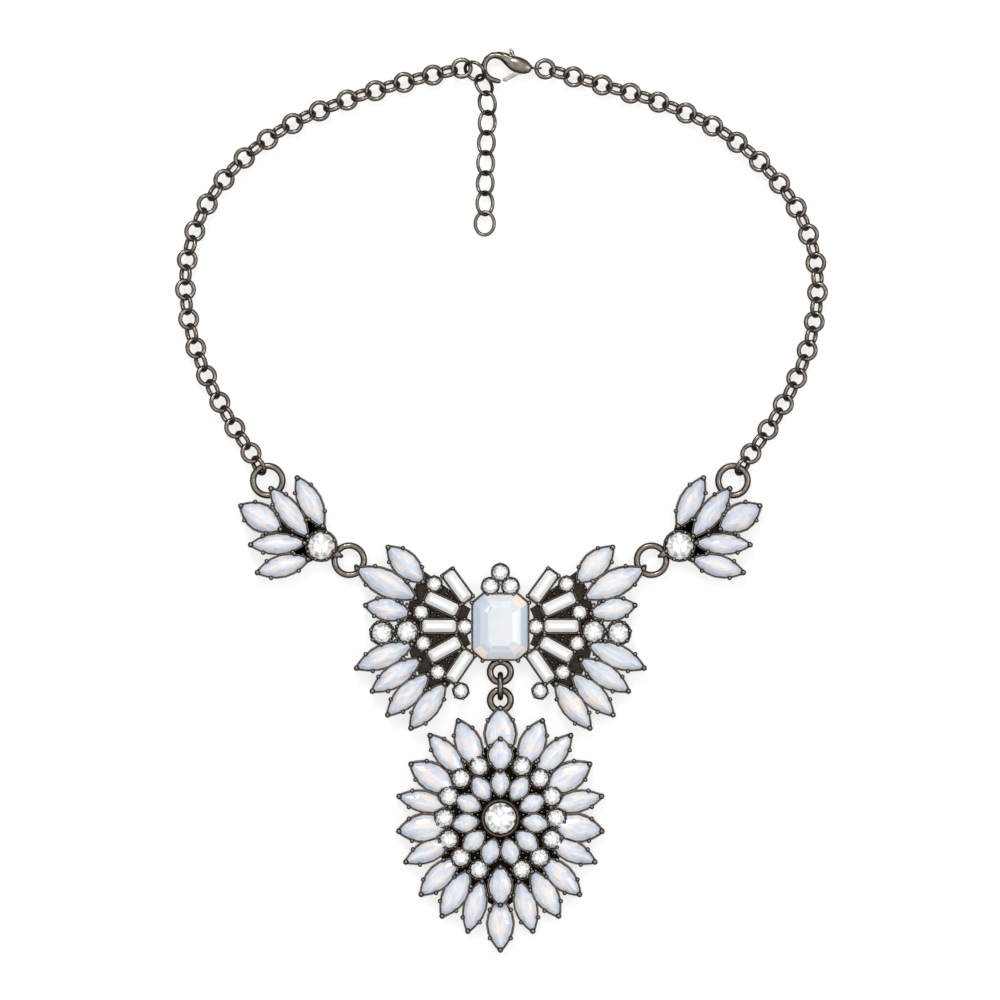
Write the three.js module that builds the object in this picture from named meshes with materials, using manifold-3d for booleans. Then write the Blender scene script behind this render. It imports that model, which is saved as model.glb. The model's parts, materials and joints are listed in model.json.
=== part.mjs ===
// Bib necklace of antique metal with milky navettes and clear crystals, fastened and lying on a flat surface.
// Millimetres, +Z up. The layout below is measured from the middle of the octagon stone, +Y towards the clasp.
import * as THREE from "three";
import { mergeVertices } from "three/addons/utils/BufferGeometryUtils.js";
import Module from "manifold-3d";

const wasm = await Module();
wasm.setup();

// Stones
const navetteLength = 15;
const navetteWidth = 7;
const navetteCrown = 1.9;
const baguetteLength = 9.6;
const baguetteWidth = 3.5;
const baguetteCrown = 1.5;
const octagonWidth = 15;
const octagonHeight = 17.8;
const octagonCrown = 2.6;
const smallRound = 3.9;
const largeRound = 5.9;
const trioRound = 4.4;
const clusterRound = 7.5;
const centreRound = 8.4;
const pendantRound = 4.8;
const innerNavetteLength = 7.9;
const innerNavetteWidth = 5;
const smallCrown = 1.3;
const roundCrown = 2;

// Settings
const cupWall = 0.5;
const cupHeight = 4.2;
const octagonCupHeight = 4.8;
const petalCupHeight = 3.2;
const roundCupHeight = 4;
const innerCupHeight = 4.4;
const bezelHeight = 5.2;
const seatGap = 0.3;
const seatDepth = 0.9;
const backThickness = 1;

// Fans of stones on each side of the octagon
const baguetteStart = octagonWidth / 2 + smallRound;
const fanGap = 0.6;
const backWidth = 5;
const ribWidth = 2.4;

// Jump rings, their eyes under the settings, and the chain
const chainHeight = 2.65;
const ringHeight = 2.4;
const ringOuter = 9.9;
const ringWire = 1.8;
const eyeRoom = 0.45;
const eyeWall = 0.8;
const eyeThickness = 1.4;
const linkWidth = 6;
const linkWire = 1.1;
const linkPitch = 4.06;
const linkBite = 0.14;
const neckRolls = [-58, 15];
const lastRoll = -5;
const extenderLinkWidth = 6.3;
const extenderWire = 0.95;
const extenderCount = 8;
const endRingOuter = 6.9;
const endRingWire = 1;
const endRingTilt = 47;
const endRingTurn = -37;
const play = 0.3;

// Drop between the bib and the pendant
const solderedRingOuter = 7.6;
const solderedRingWire = 1.95;
const dropWire = 1.65;
const dropLinkHeight = 6.6;
const solderLap = 1;

// Pendant
const pendantRadius = 30.5;
const backShare = 0.61;
const innerNavetteCount = 11;
const roundPlaces = 16;

// Lobster clasp
const claspLength = 17;
const claspDepth = 3.2;
const claspEyeOuter = 3.2;
const claspEyeWire = 0.75;
const claspDrop = 0.45;
const leverThickness = 0.8;
const leverWidth = 1.3;
const leverTravel = 25;
const pinRadius = 0.4;

// Facets, and the size below which joined edges are merged
const linkSides = 10;
const wireSides = 5;
const roundSides = 8;
const largeRoundSides = 10;
const weld = 0.05;

const gunmetal = { color: 0x5f5852, roughness: 0.38, metalness: 1 };
const opal = { color: 0xd3dfee, roughness: 0.15, metalness: 0 };
const crystal = { color: 0xf0f0f0, roughness: 0.05, metalness: 0 };

// Wing stones. Bearing is seen from the octagon's middle, turn is the way the stone points, and slip moves its
// inner end outwards, as a share of the navette's width. Length and width are shares of the navette's own.
const wingNavettes = [
  { bearing: 29.9, turn: 44.8, slip: 0, length: 0.95, width: 0.94 },
  { bearing: 18.6, turn: 26.7, slip: 0, length: 1.25, width: 1 },
  { bearing: 8.3, turn: 10.5, slip: 0.08, length: 0.87, width: 0.86 },
  { bearing: -11, turn: -23.3, slip: 0.03, length: 1.15, width: 0.88 },
  { bearing: -21.9, turn: -33.7, slip: -0.11, length: 1.1, width: 0.84 },
  { bearing: -33.2, turn: -45, slip: -0.12, length: 1.1, width: 0.84 },
  { bearing: -45.6, turn: -52.6, slip: -0.38, length: 1.07, width: 0.86 },
];

// Baguettes, with slip as a share of their width.
const wingBaguettes = [
  { bearing: 43.5, turn: 54, slip: 0 },
  { bearing: 21.5, turn: 25, slip: 0.3 },
  { bearing: 0.7, turn: 0, slip: 0.17 },
  { bearing: -21.9, turn: -29, slip: 0.1 },
  { bearing: -44.3, turn: -55.7, slip: -0.2 },
];

// Small rounds in the gaps of the fan, with slip as a share of the small round.
const wingSmallRounds = [
  { bearing: 32.8, slip: 0 },
  { bearing: 10.3, slip: 0.12 },
  { bearing: -12.2, slip: 0 },
  { bearing: -36, slip: -0.1 },
  { bearing: -58.4, slip: -0.22 },
];

// Side cluster, from the middle of its crystal. Reach is the inner tip's distance as a share of the crystal.
const clusterNavettes = [
  { bearing: 22, reach: 1.56, turn: 30.6, length: 0.89, width: 1.03 },
  { bearing: 34, reach: 0.56, turn: 52.4, length: 1.15, width: 0.82 },
  { bearing: 97, reach: 0.68, turn: 62.2, length: 1.05, width: 0.86 },
  { bearing: 11, reach: 0.56, turn: -1.9, length: 1.04, width: 0.79 },
  { bearing: -48.4, reach: 0.64, turn: -14.6, length: 1.01, width: 0.83 },
];

// Pendant petals. Bearing is from the top, tip is the outer tip's distance as a share of the pendant's radius.
const pendantPetals = [
  { bearing: 0, tip: 1, length: 1, width: 1.2 },
  { bearing: 23.4, tip: 0.964, length: 1, width: 0.97 },
  { bearing: 40.5, tip: 0.987, length: 1, width: 0.83 },
  { bearing: 59, tip: 0.951, length: 1, width: 1.04 },
  { bearing: 78, tip: 0.944, length: 1, width: 0.8 },
  { bearing: 97.5, tip: 0.934, length: 1, width: 1.06 },
  { bearing: 115, tip: 0.951, length: 1, width: 0.8 },
  { bearing: 134, tip: 1.003, length: 1, width: 0.88 },
  { bearing: 149.3, tip: 1.039, length: 1, width: 0.9 },
  { bearing: 164, tip: 1.072, length: 1, width: 0.84 },
  { bearing: 180, tip: 1.2, length: 1, width: 1 },
];

// Two raised navettes that overlap the pendant's rounds, above and below its middle.
const raisedNavettes = [
  { name: "pendant_navette_top", bearing: 0, reach: 0.57, length: 0.63, width: 0.94 },
  { name: "pendant_navette_bottom", bearing: 180, reach: 0.607, length: 0.75, width: 0.91 },
];

// Chosen points of the two neck chains, after the side cluster's jump ring and as far as the clasp.
const routeRight = [
  [68.9, 47.7], [73.4, 54], [81.2, 67.9], [86, 82.8], [86.8, 98.5],
  [82.1, 113.4], [72.8, 126], [59.8, 136.5], [44.4, 143.6], [28.2, 148.6], [12.3, 153.1],
];
const routeLeft = [
  [-68.6, 47.9], [-73, 54.7], [-80.6, 68.7], [-85.4, 83.4], [-86.2, 99],
  [-81.7, 113.7], [-72.3, 126.7], [-59.1, 136.9], [-43.5, 144], [-27.1, 149.2], [-10.6, 153.3],
];
// Chosen points of the adjusting chain, with its height at each.
const routeExtender = [
  [-4.5, 148.7, 2.7], [-4.2, 146.3, 4], [-3.6, 143.6, 3.7], [-3.6, 139.3, 2.3], [-3.8, 133.8, 2.05],
  [-4.1, 125, 2.05], [-4.3, 110.7, 2.05],
];

// The end ring's middle from the left chain's last link.
const endRingPlace = { x: 3.6, y: -0.9, z: 0.8 };

// Clasp from its eye round the hook to its tip. X and y are shares of the clasp's length, across and deep are
// shares of the body's depth.
const claspStations = [
  { x: -0.071, y: 0.01, across: 0.42, deep: 0.4 },
  { x: -0.108, y: 0.014, across: 0.56, deep: 0.55 },
  { x: -0.181, y: 0.01, across: 1.1, deep: 0.9 },
  { x: -0.285, y: 0.037, across: 1.34, deep: 1 },
  { x: -0.4, y: 0.1, across: 1.26, deep: 0.95 },
  { x: -0.513, y: 0.172, across: 0.9, deep: 0.72 },
  { x: -0.615, y: 0.224, across: 0.53, deep: 0.46 },
  { x: -0.721, y: 0.217, across: 0.44, deep: 0.4 },
  { x: -0.809, y: 0.156, across: 0.42, deep: 0.38 },
  { x: -0.861, y: 0.052, across: 0.4, deep: 0.38 },
  { x: -0.856, y: -0.052, across: 0.4, deep: 0.38 },
  { x: -0.804, y: -0.146, across: 0.4, deep: 0.38 },
  { x: -0.7, y: -0.204, across: 0.38, deep: 0.36 },
  { x: -0.576, y: -0.222, across: 0.34, deep: 0.34 },
];
// The lever's pivot from the clasp's eye, and its two arms, as shares of the clasp's length.
const leverPivot = { x: -0.254, y: -0.04 };
const leverArm = { reach: 0.3, turn: 210 };
const thumbArm = { reach: 0.38, turn: 116 };

// Angles and flat points

function polar(radius, degrees) {
  const angle = THREE.MathUtils.degToRad(degrees);
  return new THREE.Vector2(radius * Math.cos(angle), radius * Math.sin(angle));
}

function placed(outline, at, turn) {
  const angle = THREE.MathUtils.degToRad(turn);
  return outline.map((p) => p.clone().rotateAround(new THREE.Vector2(), angle).add(at));
}

function mirroredTurn(turn, side) {
  return side > 0 ? turn : 180 - turn;
}

// Outlines, each convex and counter-clockwise

function navetteOutline(length, width) {
  const steps = 4;
  const points = [];
  for (let i = 0; i < 2 * steps; i += 1) {
    const share = i <= steps ? 1 - (2 * i) / steps : (2 * i) / steps - 3;
    const side = i <= steps ? 1 : -1;
    points.push(new THREE.Vector2((share * length) / 2, (side * width * (1 - share * share)) / 2));
  }
  return points;
}

function roundOutline(diameter, sides = roundSides) {
  const points = [];
  for (let i = 0; i < sides; i += 1) {
    points.push(polar(diameter / 2, (360 * (i + 0.5)) / sides));
  }
  return points;
}

function rectangleOutline(length, width) {
  const corners = [[1, -1], [1, 1], [-1, 1], [-1, -1]];
  return corners.map(([x, y]) => new THREE.Vector2((x * length) / 2, (y * width) / 2));
}

function octagonOutline(width, height) {
  const cutX = 0.195 * width;
  const cutY = 0.14 * height;
  const points = [];
  for (const [x, y] of [[1, 1], [-1, 1], [-1, -1], [1, -1]]) {
    const side = new THREE.Vector2((x * width) / 2, y * (height / 2 - cutY));
    const end = new THREE.Vector2(x * (width / 2 - cutX), (y * height) / 2);
    points.push(...(x * y > 0 ? [side, end] : [end, side]));
  }
  return points;
}

// Solids

// Joins outlines with the same number of points, each at its own height, into one closed surface.
function loft(levels) {
  const count = levels[0].outline.length;
  const positions = levels.flatMap(({ outline, z }) => outline.flatMap((p) => [p.x, p.y, z]));
  const index = [];
  for (let level = 0; level < levels.length - 1; level += 1) {
    for (let i = 0; i < count; i += 1) {
      const low = level * count;
      const next = (i + 1) % count;
      index.push(low + i, low + next, low + count + next);
      index.push(low + i, low + count + next, low + count + i);
    }
  }
  const top = (levels.length - 1) * count;
  for (let i = 1; i < count - 1; i += 1) {
    index.push(0, i + 1, i, top, top + i, top + i + 1);
  }
  const geometry = new THREE.BufferGeometry();
  geometry.setAttribute("position", new THREE.Float32BufferAttribute(positions, 3));
  geometry.setIndex(index);
  return geometry;
}

function solidOf(geometry) {
  const bare = geometry.clone();
  bare.deleteAttribute("normal");
  bare.deleteAttribute("uv");
  const merged = mergeVertices(bare, 1e-4);
  const vertProperties = new Float32Array(merged.attributes.position.array);
  const triVerts = new Uint32Array(merged.index.array);
  return new wasm.Manifold(new wasm.Mesh({ numProp: 3, vertProperties, triVerts }));
}

function joined(solids) {
  return solids.reduce((all, solid) => all.add(solid)).asOriginal().simplify(weld);
}

function geometryOf(solid) {
  const mesh = solid.getMesh();
  const geometry = new THREE.BufferGeometry();
  geometry.setAttribute("position", new THREE.BufferAttribute(mesh.vertProperties, 3));
  geometry.setIndex(new THREE.BufferAttribute(mesh.triVerts, 1));
  return geometry;
}

function namedMesh(name, geometry, finish) {
  const mesh = new THREE.Mesh(geometry, new THREE.MeshStandardMaterial({ ...finish, flatShading: true }));
  mesh.name = name;
  return mesh;
}

// A closed loop of wire in the XY plane, an oval of the given outer length and width. Its ends are straight
// across, and a corner of the wire's section faces the hole, where the next link bears.
function wireLoop(length, width, wire) {
  const geometry = new THREE.TorusGeometry(wire * 2, -wire / 2, wireSides, linkSides);
  geometry.rotateZ(Math.PI / linkSides);
  const halfLength = (length - wire) / 2 / Math.cos(Math.PI / linkSides);
  const halfWidth = (width - wire) / 2;
  const position = geometry.attributes.position;
  for (let i = 0; i < position.count; i += 1) {
    const angle = Math.atan2(position.getY(i), position.getX(i));
    const step = Math.PI / linkSides;
    const spoke = Math.round(angle / step) * step;
    position.setX(i, position.getX(i) + (halfLength - wire * 2) * Math.cos(spoke));
    position.setY(i, position.getY(i) + (halfWidth - wire * 2) * Math.sin(spoke));
  }
  return geometry;
}

// Stones

function gemGeometry(outline, table, crown) {
  return loft([{ outline, z: 0 }, { outline: table, z: crown }]);
}

function navetteGem(length, width) {
  const table = navetteOutline(0.5 * length, 0.42 * width);
  return gemGeometry(navetteOutline(length, width), table, navetteCrown);
}

function baguetteGem() {
  const step = rectangleOutline(0.86 * baguetteLength, 0.64 * baguetteWidth);
  const table = rectangleOutline(0.74 * baguetteLength, 0.3 * baguetteWidth);
  return loft([
    { outline: rectangleOutline(baguetteLength, baguetteWidth), z: 0 },
    { outline: step, z: 0.7 * baguetteCrown },
    { outline: table, z: baguetteCrown },
  ]);
}

function octagonGem() {
  return loft([
    { outline: octagonOutline(octagonWidth, octagonHeight), z: 0 },
    { outline: octagonOutline(0.72 * octagonWidth, 0.79 * octagonHeight), z: 0.62 * octagonCrown },
    { outline: octagonOutline(0.45 * octagonWidth, 0.63 * octagonHeight), z: octagonCrown },
  ]);
}

function roundGem(diameter, sides) {
  return gemGeometry(roundOutline(diameter, sides), roundOutline(0.55 * diameter, sides), roundCrown);
}

// Settings

function cup(outline, height) {
  return solidOf(loft([{ outline, z: 0 }, { outline, z: height }]));
}

// A small stone fused to its cup.
function setStone(rim, table, height, crown) {
  const levels = [{ outline: rim, z: 0 }, { outline: rim, z: height }, { outline: table, z: height + crown }];
  return solidOf(loft(levels));
}

function setRound(diameter, at, height) {
  const rim = placed(roundOutline(diameter + 2 * cupWall), at, 0);
  return setStone(rim, placed(roundOutline(0.55 * diameter), at, 0), height, smallCrown);
}

// The cup of a small round, whose stone is left to the visual model.
function roundCup(diameter, at, height) {
  return cup(placed(roundOutline(diameter + 2 * cupWall), at, 0), height);
}

function setNavette(length, width, at, turn, height) {
  const rim = placed(navetteOutline(length + 2 * cupWall, width + 2 * cupWall), at, turn);
  const table = placed(navetteOutline(0.5 * length, 0.42 * width), at, turn);
  return setStone(rim, table, height, smallCrown);
}

function navetteCup(length, width, at, turn, height) {
  return cup(placed(navetteOutline(length + 2 * cupWall, width + 2 * cupWall), at, turn), height);
}

// The recess in a cup that takes a stone's foot.
function recess(outline, height) {
  return solidOf(loft([{ outline, z: height - seatDepth }, { outline, z: height + seatDepth }]));
}

// An eye under a setting: the jump ring's wire passes through it, across the given bearing.
const eyeHole = ringWire / 2 + eyeRoom;

function archShape(radius, top) {
  const shape = new THREE.Shape();
  const steps = 4;
  shape.moveTo(radius, top);
  shape.lineTo(-radius, top);
  for (let i = 0; i <= steps; i += 1) {
    const p = polar(radius, 180 + (180 * i) / steps);
    shape.lineTo(p.x, p.y);
  }
  return shape;
}

function archPrism(radius, top, thickness, at, bearing) {
  const settings = { depth: thickness, bevelEnabled: false, curveSegments: 1 };
  const geometry = new THREE.ExtrudeGeometry(archShape(radius, top), settings);
  geometry.translate(0, 0, -thickness / 2);
  geometry.rotateX(Math.PI / 2);
  geometry.rotateZ(THREE.MathUtils.degToRad(bearing));
  geometry.translate(at.x, at.y, ringHeight);
  return solidOf(geometry);
}

function eyeSolid(at, bearing) {
  return archPrism(eyeHole + eyeWall, cupHeight - ringHeight, eyeThickness, at, bearing);
}

function eyeTunnel(at, bearing) {
  return archPrism(eyeHole, eyeHole, 4 * ringOuter, at, bearing);
}

// A cup, its eye, and the tunnel for the ring through both.
function cupWithEye(solid, at, bearing) {
  return solid.add(eyeSolid(at, bearing)).subtract(eyeTunnel(at, bearing));
}

// Layout of the wings

const roundsRadius = baguetteStart + baguetteLength + fanGap;
const navettesRadius = roundsRadius + smallRound / 2 + fanGap;
const ringRadius = (ringOuter - ringWire) / 2;

function mirrored(point, side) {
  return new THREE.Vector2(side * point.x, point.y);
}

// A navette that points outwards from its inner tip, on the right side or mirrored on the left.
function navettePlace(row, innerTip, side) {
  const length = row.length * navetteLength;
  const width = row.width * navetteWidth;
  const at = mirrored(innerTip.clone().add(polar(length / 2, row.turn)), side);
  return { length, width, at, turn: mirroredTurn(row.turn, side) };
}

function wingInnerTip(row) {
  return polar(navettesRadius + row.slip * navetteWidth, row.bearing);
}

function wingNavettePlace(row, side) {
  return navettePlace(row, wingInnerTip(row), side);
}

function wingBaguettePlace(row, side) {
  const radius = baguetteStart + baguetteLength / 2 + row.slip * baguetteWidth;
  return { at: mirrored(polar(radius, row.bearing), side), turn: mirroredTurn(row.turn, side) };
}

function tipOf(place) {
  return place.at.clone().add(polar(place.length / 2, place.turn));
}

// The side cluster hangs on the jump ring at the wing's outer navette. A navette's tip reaches past the ring's
// wire into its hole.
const outerNavette = wingNavettePlace(wingNavettes[1], 1);
const wingRingCentre = tipOf(outerNavette).add(polar(0.69 * ringRadius, 48));
const clusterReach = ringRadius + clusterRound / 2 + eyeWall;
const clusterCentre = wingRingCentre.clone().add(polar(clusterReach, 27.5));

function clusterNavettePlace(row, side) {
  return navettePlace(row, polar(row.reach * clusterRound, row.bearing).add(clusterCentre), side);
}

const hangingNavette = clusterNavettePlace(clusterNavettes[1], 1);
const chainRingCentre = tipOf(hangingNavette).add(polar(0.5 * ringRadius, 69));

function bearingOf(from, to) {
  return THREE.MathUtils.radToDeg(Math.atan2(to.y - from.y, to.x - from.x));
}

// Where the ring's wire crosses the navette's own axis, on the side of its body.
function crossingOn(place, centre) {
  const inwards = polar(1, place.turn + 180);
  const fromCentre = tipOf(place).sub(centre);
  const along = fromCentre.dot(inwards);
  const run = -along + Math.sqrt(along * along + ringRadius * ringRadius - fromCentre.lengthSq());
  return tipOf(place).add(inwards.multiplyScalar(run));
}

// A flat bar behind the settings, from one point to another.
function backBar(from, to, width) {
  const outline = rectangleOutline(from.distanceTo(to), width);
  const middle = from.clone().add(to).divideScalar(2);
  return cup(placed(outline, middle, bearingOf(from, to)), backThickness);
}

// Bib

// Bars from inner tip to inner tip, behind the whole fan.
function wingBack(side) {
  const tips = wingNavettes.map((row) => mirrored(wingInnerTip(row), side));
  return tips.slice(1).map((tip, i) => backBar(tips[i], tip, backWidth));
}

function wingParts(side) {
  const solids = wingBack(side);
  for (const row of wingNavettes) {
    const place = wingNavettePlace(row, side);
    let solid = navetteCup(place.length, place.width, place.at, place.turn, cupHeight);
    if (row === wingNavettes[1]) {
      const crossing = mirrored(crossingOn(outerNavette, wingRingCentre), side);
      const bearing = bearingOf(mirrored(wingRingCentre, side), crossing);
      solid = cupWithEye(solid, crossing, bearing);
    }
    solids.push(solid);
  }
  for (const row of wingBaguettes) {
    const place = wingBaguettePlace(row, side);
    const outline = rectangleOutline(baguetteLength + 2 * cupWall, baguetteWidth + 2 * cupWall);
    solids.push(cup(placed(outline, place.at, place.turn), cupHeight));
  }
  for (const row of wingSmallRounds) {
    const at = mirrored(polar(roundsRadius + row.slip * smallRound, row.bearing), side);
    solids.push(roundCup(smallRound, at, cupHeight));
  }
  const innerRound = octagonWidth / 2 + smallRound / 2 + seatGap;
  solids.push(roundCup(smallRound, new THREE.Vector2(side * innerRound, 0), cupHeight));
  const largeStart = navettesRadius + 0.25 * largeRound;
  for (const step of [0, 1]) {
    const radius = largeStart + step * (largeRound + 2 * cupWall);
    solids.push(setRound(largeRound, mirrored(polar(radius, -3), side), cupHeight));
  }
  return solids;
}

function trioParts() {
  const low = octagonHeight / 2 + trioRound / 2;
  const apart = trioRound / 2 + cupWall;
  const high = low + 1.7 * apart - cupWall;
  const places = [[-apart, low], [apart, low], [0, high]];
  return places.map(([x, y]) => setRound(trioRound, new THREE.Vector2(x, y), cupHeight));
}

const solderedHole = solderedRingOuter / 2 - solderedRingWire;
const dropHeight = dropLinkHeight / 2;
const bibRingY = -(octagonHeight / 2 + cupWall + solderedRingOuter / 2 - solderLap);

function solderedRing(y) {
  const loop = wireLoop(solderedRingOuter, solderedRingOuter, solderedRingWire);
  loop.translate(0, y, dropHeight);
  return solidOf(loop);
}

function bibFrame() {
  const outer = octagonOutline(octagonWidth + 2 * cupWall, octagonHeight + 2 * cupWall);
  const inner = octagonOutline(octagonWidth + 2 * seatGap, octagonHeight + 2 * seatGap);
  const parts = [cup(outer, octagonCupHeight), solderedRing(bibRingY)];
  parts.push(...trioParts(), ...wingParts(1), ...wingParts(-1));
  return joined(parts).subtract(recess(inner, octagonCupHeight));
}

function stoneMesh(name, geometry, at, turn, seat, finish) {
  const mesh = namedMesh(name, geometry, finish);
  mesh.position.set(at.x, at.y, seat + seatGap);
  mesh.rotation.z = THREE.MathUtils.degToRad(turn);
  return mesh;
}

function wingStones(side) {
  const group = new THREE.Group();
  const label = side > 0 ? "right" : "left";
  wingNavettes.forEach((row, i) => {
    const place = wingNavettePlace(row, side);
    const gem = navetteGem(place.length, place.width);
    group.add(stoneMesh(`wing_${label}_navette_${i + 1}`, gem, place.at, place.turn, cupHeight, opal));
  });
  wingBaguettes.forEach((row, i) => {
    const { at, turn } = wingBaguettePlace(row, side);
    group.add(stoneMesh(`wing_${label}_baguette_${i + 1}`, baguetteGem(), at, turn, cupHeight, crystal));
  });
  return group;
}

function bib() {
  const group = new THREE.Group();
  group.add(namedMesh("bib_frame", geometryOf(bibFrame()), gunmetal));
  const seat = octagonCupHeight - seatDepth;
  group.add(stoneMesh("bib_octagon", octagonGem(), new THREE.Vector2(), 0, seat, opal));
  group.add(wingStones(1), wingStones(-1));
  return group;
}

// Side clusters

function clusterFrame(side) {
  const centre = mirrored(clusterCentre, side);
  const outer = placed(roundOutline(clusterRound + 2 * cupWall, largeRoundSides), centre, 0);
  const inner = placed(roundOutline(clusterRound + 2 * seatGap, largeRoundSides), centre, 0);
  const ringCentre = mirrored(wingRingCentre, side);
  const bearing = bearingOf(centre, ringCentre);
  const eyeReach = centre.distanceTo(ringCentre) - ringRadius;
  const crossing = centre.clone().add(polar(eyeReach, bearing));
  const parts = [cupWithEye(cup(outer, octagonCupHeight), crossing, bearing)];
  for (const row of clusterNavettes) {
    const place = clusterNavettePlace(row, side);
    let solid = navetteCup(place.length, place.width, place.at, place.turn, cupHeight);
    if (row === clusterNavettes[1]) {
      const at = mirrored(crossingOn(hangingNavette, chainRingCentre), side);
      solid = cupWithEye(solid, at, bearingOf(mirrored(chainRingCentre, side), at));
    }
    parts.push(solid, backBar(centre, place.at, ribWidth));
  }
  return joined(parts).subtract(recess(inner, octagonCupHeight));
}

function cluster(side) {
  const group = new THREE.Group();
  const label = side > 0 ? "right" : "left";
  group.add(namedMesh(`cluster_${label}`, geometryOf(clusterFrame(side)), gunmetal));
  clusterNavettes.forEach((row, i) => {
    const place = clusterNavettePlace(row, side);
    const gem = navetteGem(place.length, place.width);
    group.add(stoneMesh(`cluster_${label}_navette_${i + 1}`, gem, place.at, place.turn, cupHeight, opal));
  });
  const centre = mirrored(clusterCentre, side);
  const gem = roundGem(clusterRound, largeRoundSides);
  const seat = octagonCupHeight - seatDepth;
  group.add(stoneMesh(`cluster_${label}_crystal`, gem, centre, 0, seat, crystal));
  return group;
}

// Jump rings and the drop

function jumpRing(name, centre) {
  const mesh = namedMesh(name, wireLoop(ringOuter, ringOuter, ringWire), gunmetal);
  mesh.position.set(centre.x, centre.y, ringHeight);
  return mesh;
}

const dropLinkInner = 2 * solderedRingWire + 4 * seatGap;
const dropLinkLength = dropLinkInner + 2 * dropWire;
const ringsApart = dropLinkInner - 2 * play + 2 * solderedHole;
const pendantRingY = bibRingY - ringsApart;
const pendantY = pendantRingY - pendantRadius - solderedHole + play;

function dropLink() {
  const loop = wireLoop(dropLinkLength, dropLinkHeight, dropWire);
  loop.rotateX(Math.PI / 2);
  loop.rotateZ(Math.PI / 2);
  const mesh = namedMesh("drop_link", loop, gunmetal);
  mesh.position.set(0, (bibRingY + pendantRingY) / 2, dropHeight);
  return mesh;
}

// Pendant

function compass(radius, bearing) {
  return polar(radius, 90 - bearing).add(new THREE.Vector2(0, pendantY));
}

function pendantPetalParts() {
  const solids = [];
  for (const row of pendantPetals) {
    const length = row.length * navetteLength;
    const alone = row.bearing === 0 || row.bearing === 180;
    const height = row.bearing === 0 ? cupHeight : petalCupHeight;
    for (const side of alone ? [1] : [1, -1]) {
      const bearing = side * row.bearing;
      const at = compass(row.tip * pendantRadius - length / 2, bearing);
      solids.push(setNavette(length, row.width * navetteWidth, at, 90 - bearing, height));
    }
  }
  return solids;
}

const bezelOuter = centreRound + 2 * cupWall + seatGap;
const innerRing = bezelOuter / 2 + innerNavetteLength / 2 + cupWall + seatGap;
const roundRing = innerRing + innerNavetteLength / 2 + 0.35 * pendantRound;

function innerNavetteParts() {
  const solids = [];
  for (let i = 0; i < innerNavetteCount; i += 1) {
    const bearing = (360 * i) / innerNavetteCount;
    const at = compass(innerRing, bearing);
    solids.push(setNavette(innerNavetteLength, innerNavetteWidth, at, 90 - bearing, innerCupHeight));
  }
  return solids;
}

function pendantRoundParts() {
  const solids = [];
  for (let i = 1; i < roundPlaces; i += 1) {
    if (i !== roundPlaces / 2) {
      solids.push(roundCup(pendantRound, compass(roundRing, (360 * i) / roundPlaces), roundCupHeight));
    }
  }
  return solids;
}

function raisedPlace(row) {
  const at = compass(row.reach * pendantRadius, row.bearing);
  return { at, length: row.length * navetteLength, width: row.width * navetteWidth, turn: 90 - row.bearing };
}

function pendantFrame() {
  const centre = new THREE.Vector2(0, pendantY);
  const outer = placed(roundOutline(bezelOuter, largeRoundSides), centre, 0);
  const inner = placed(roundOutline(centreRound + seatGap, largeRoundSides), centre, 0);
  const back = placed(roundOutline(2 * backShare * pendantRadius, largeRoundSides), centre, 0);
  const parts = [cup(outer, bezelHeight), cup(back, backThickness), solderedRing(pendantRingY)];
  parts.push(...pendantPetalParts(), ...innerNavetteParts(), ...pendantRoundParts());
  for (const row of raisedNavettes) {
    const place = raisedPlace(row);
    parts.push(navetteCup(place.length, place.width, place.at, place.turn, bezelHeight));
  }
  return joined(parts).subtract(recess(inner, bezelHeight));
}

function pendant() {
  const group = new THREE.Group();
  group.add(namedMesh("pendant_frame", geometryOf(pendantFrame()), gunmetal));
  const gem = roundGem(centreRound, largeRoundSides);
  const centre = new THREE.Vector2(0, pendantY);
  group.add(stoneMesh("pendant_centre", gem, centre, 0, bezelHeight - seatDepth, crystal));
  for (const row of raisedNavettes) {
    const place = raisedPlace(row);
    const navette = navetteGem(place.length, place.width);
    group.add(stoneMesh(row.name, navette, place.at, place.turn, bezelHeight, opal));
  }
  return group;
}

// Chains

// Links at equal steps along a route. A link's own length follows the step, so that neighbours just bite.
// Rolls turn each link about the route: even links and odd links by turns.
function chainSolid(route, from, count, width, wire, rollOf) {
  const points = route.map(([x, y, z = chainHeight]) => new THREE.Vector3(x, y, z));
  const curve = new THREE.CatmullRomCurve3(points, false, "centripetal");
  const total = curve.getLength();
  const step = (total - from) / (count - 1);
  const length = step + 2 * wire - linkBite;
  const links = [];
  for (let i = 0; i < count; i += 1) {
    const share = Math.min(1, (from + i * step) / total);
    const along = curve.getTangentAt(share);
    const turn = Math.atan2(along.y, along.x);
    const rise = Math.asin(along.z);
    const loop = wireLoop(length, width, wire);
    loop.rotateX(THREE.MathUtils.degToRad(rollOf(i, share)));
    loop.rotateY(-rise);
    loop.rotateZ(turn);
    const at = curve.getPointAt(share);
    loop.translate(at.x, at.y, at.z);
    links.push(solidOf(loop));
  }
  return { solid: joined(links), length, end: curve.getPointAt(1), along: curve.getTangentAt(1) };
}

// The first link hangs on its jump ring's wire.
const linkLengthSet = linkPitch + 2 * linkWire - linkBite;
const firstLink = ringRadius - ringWire / 2 - play - linkWire + linkLengthSet / 2;

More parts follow.
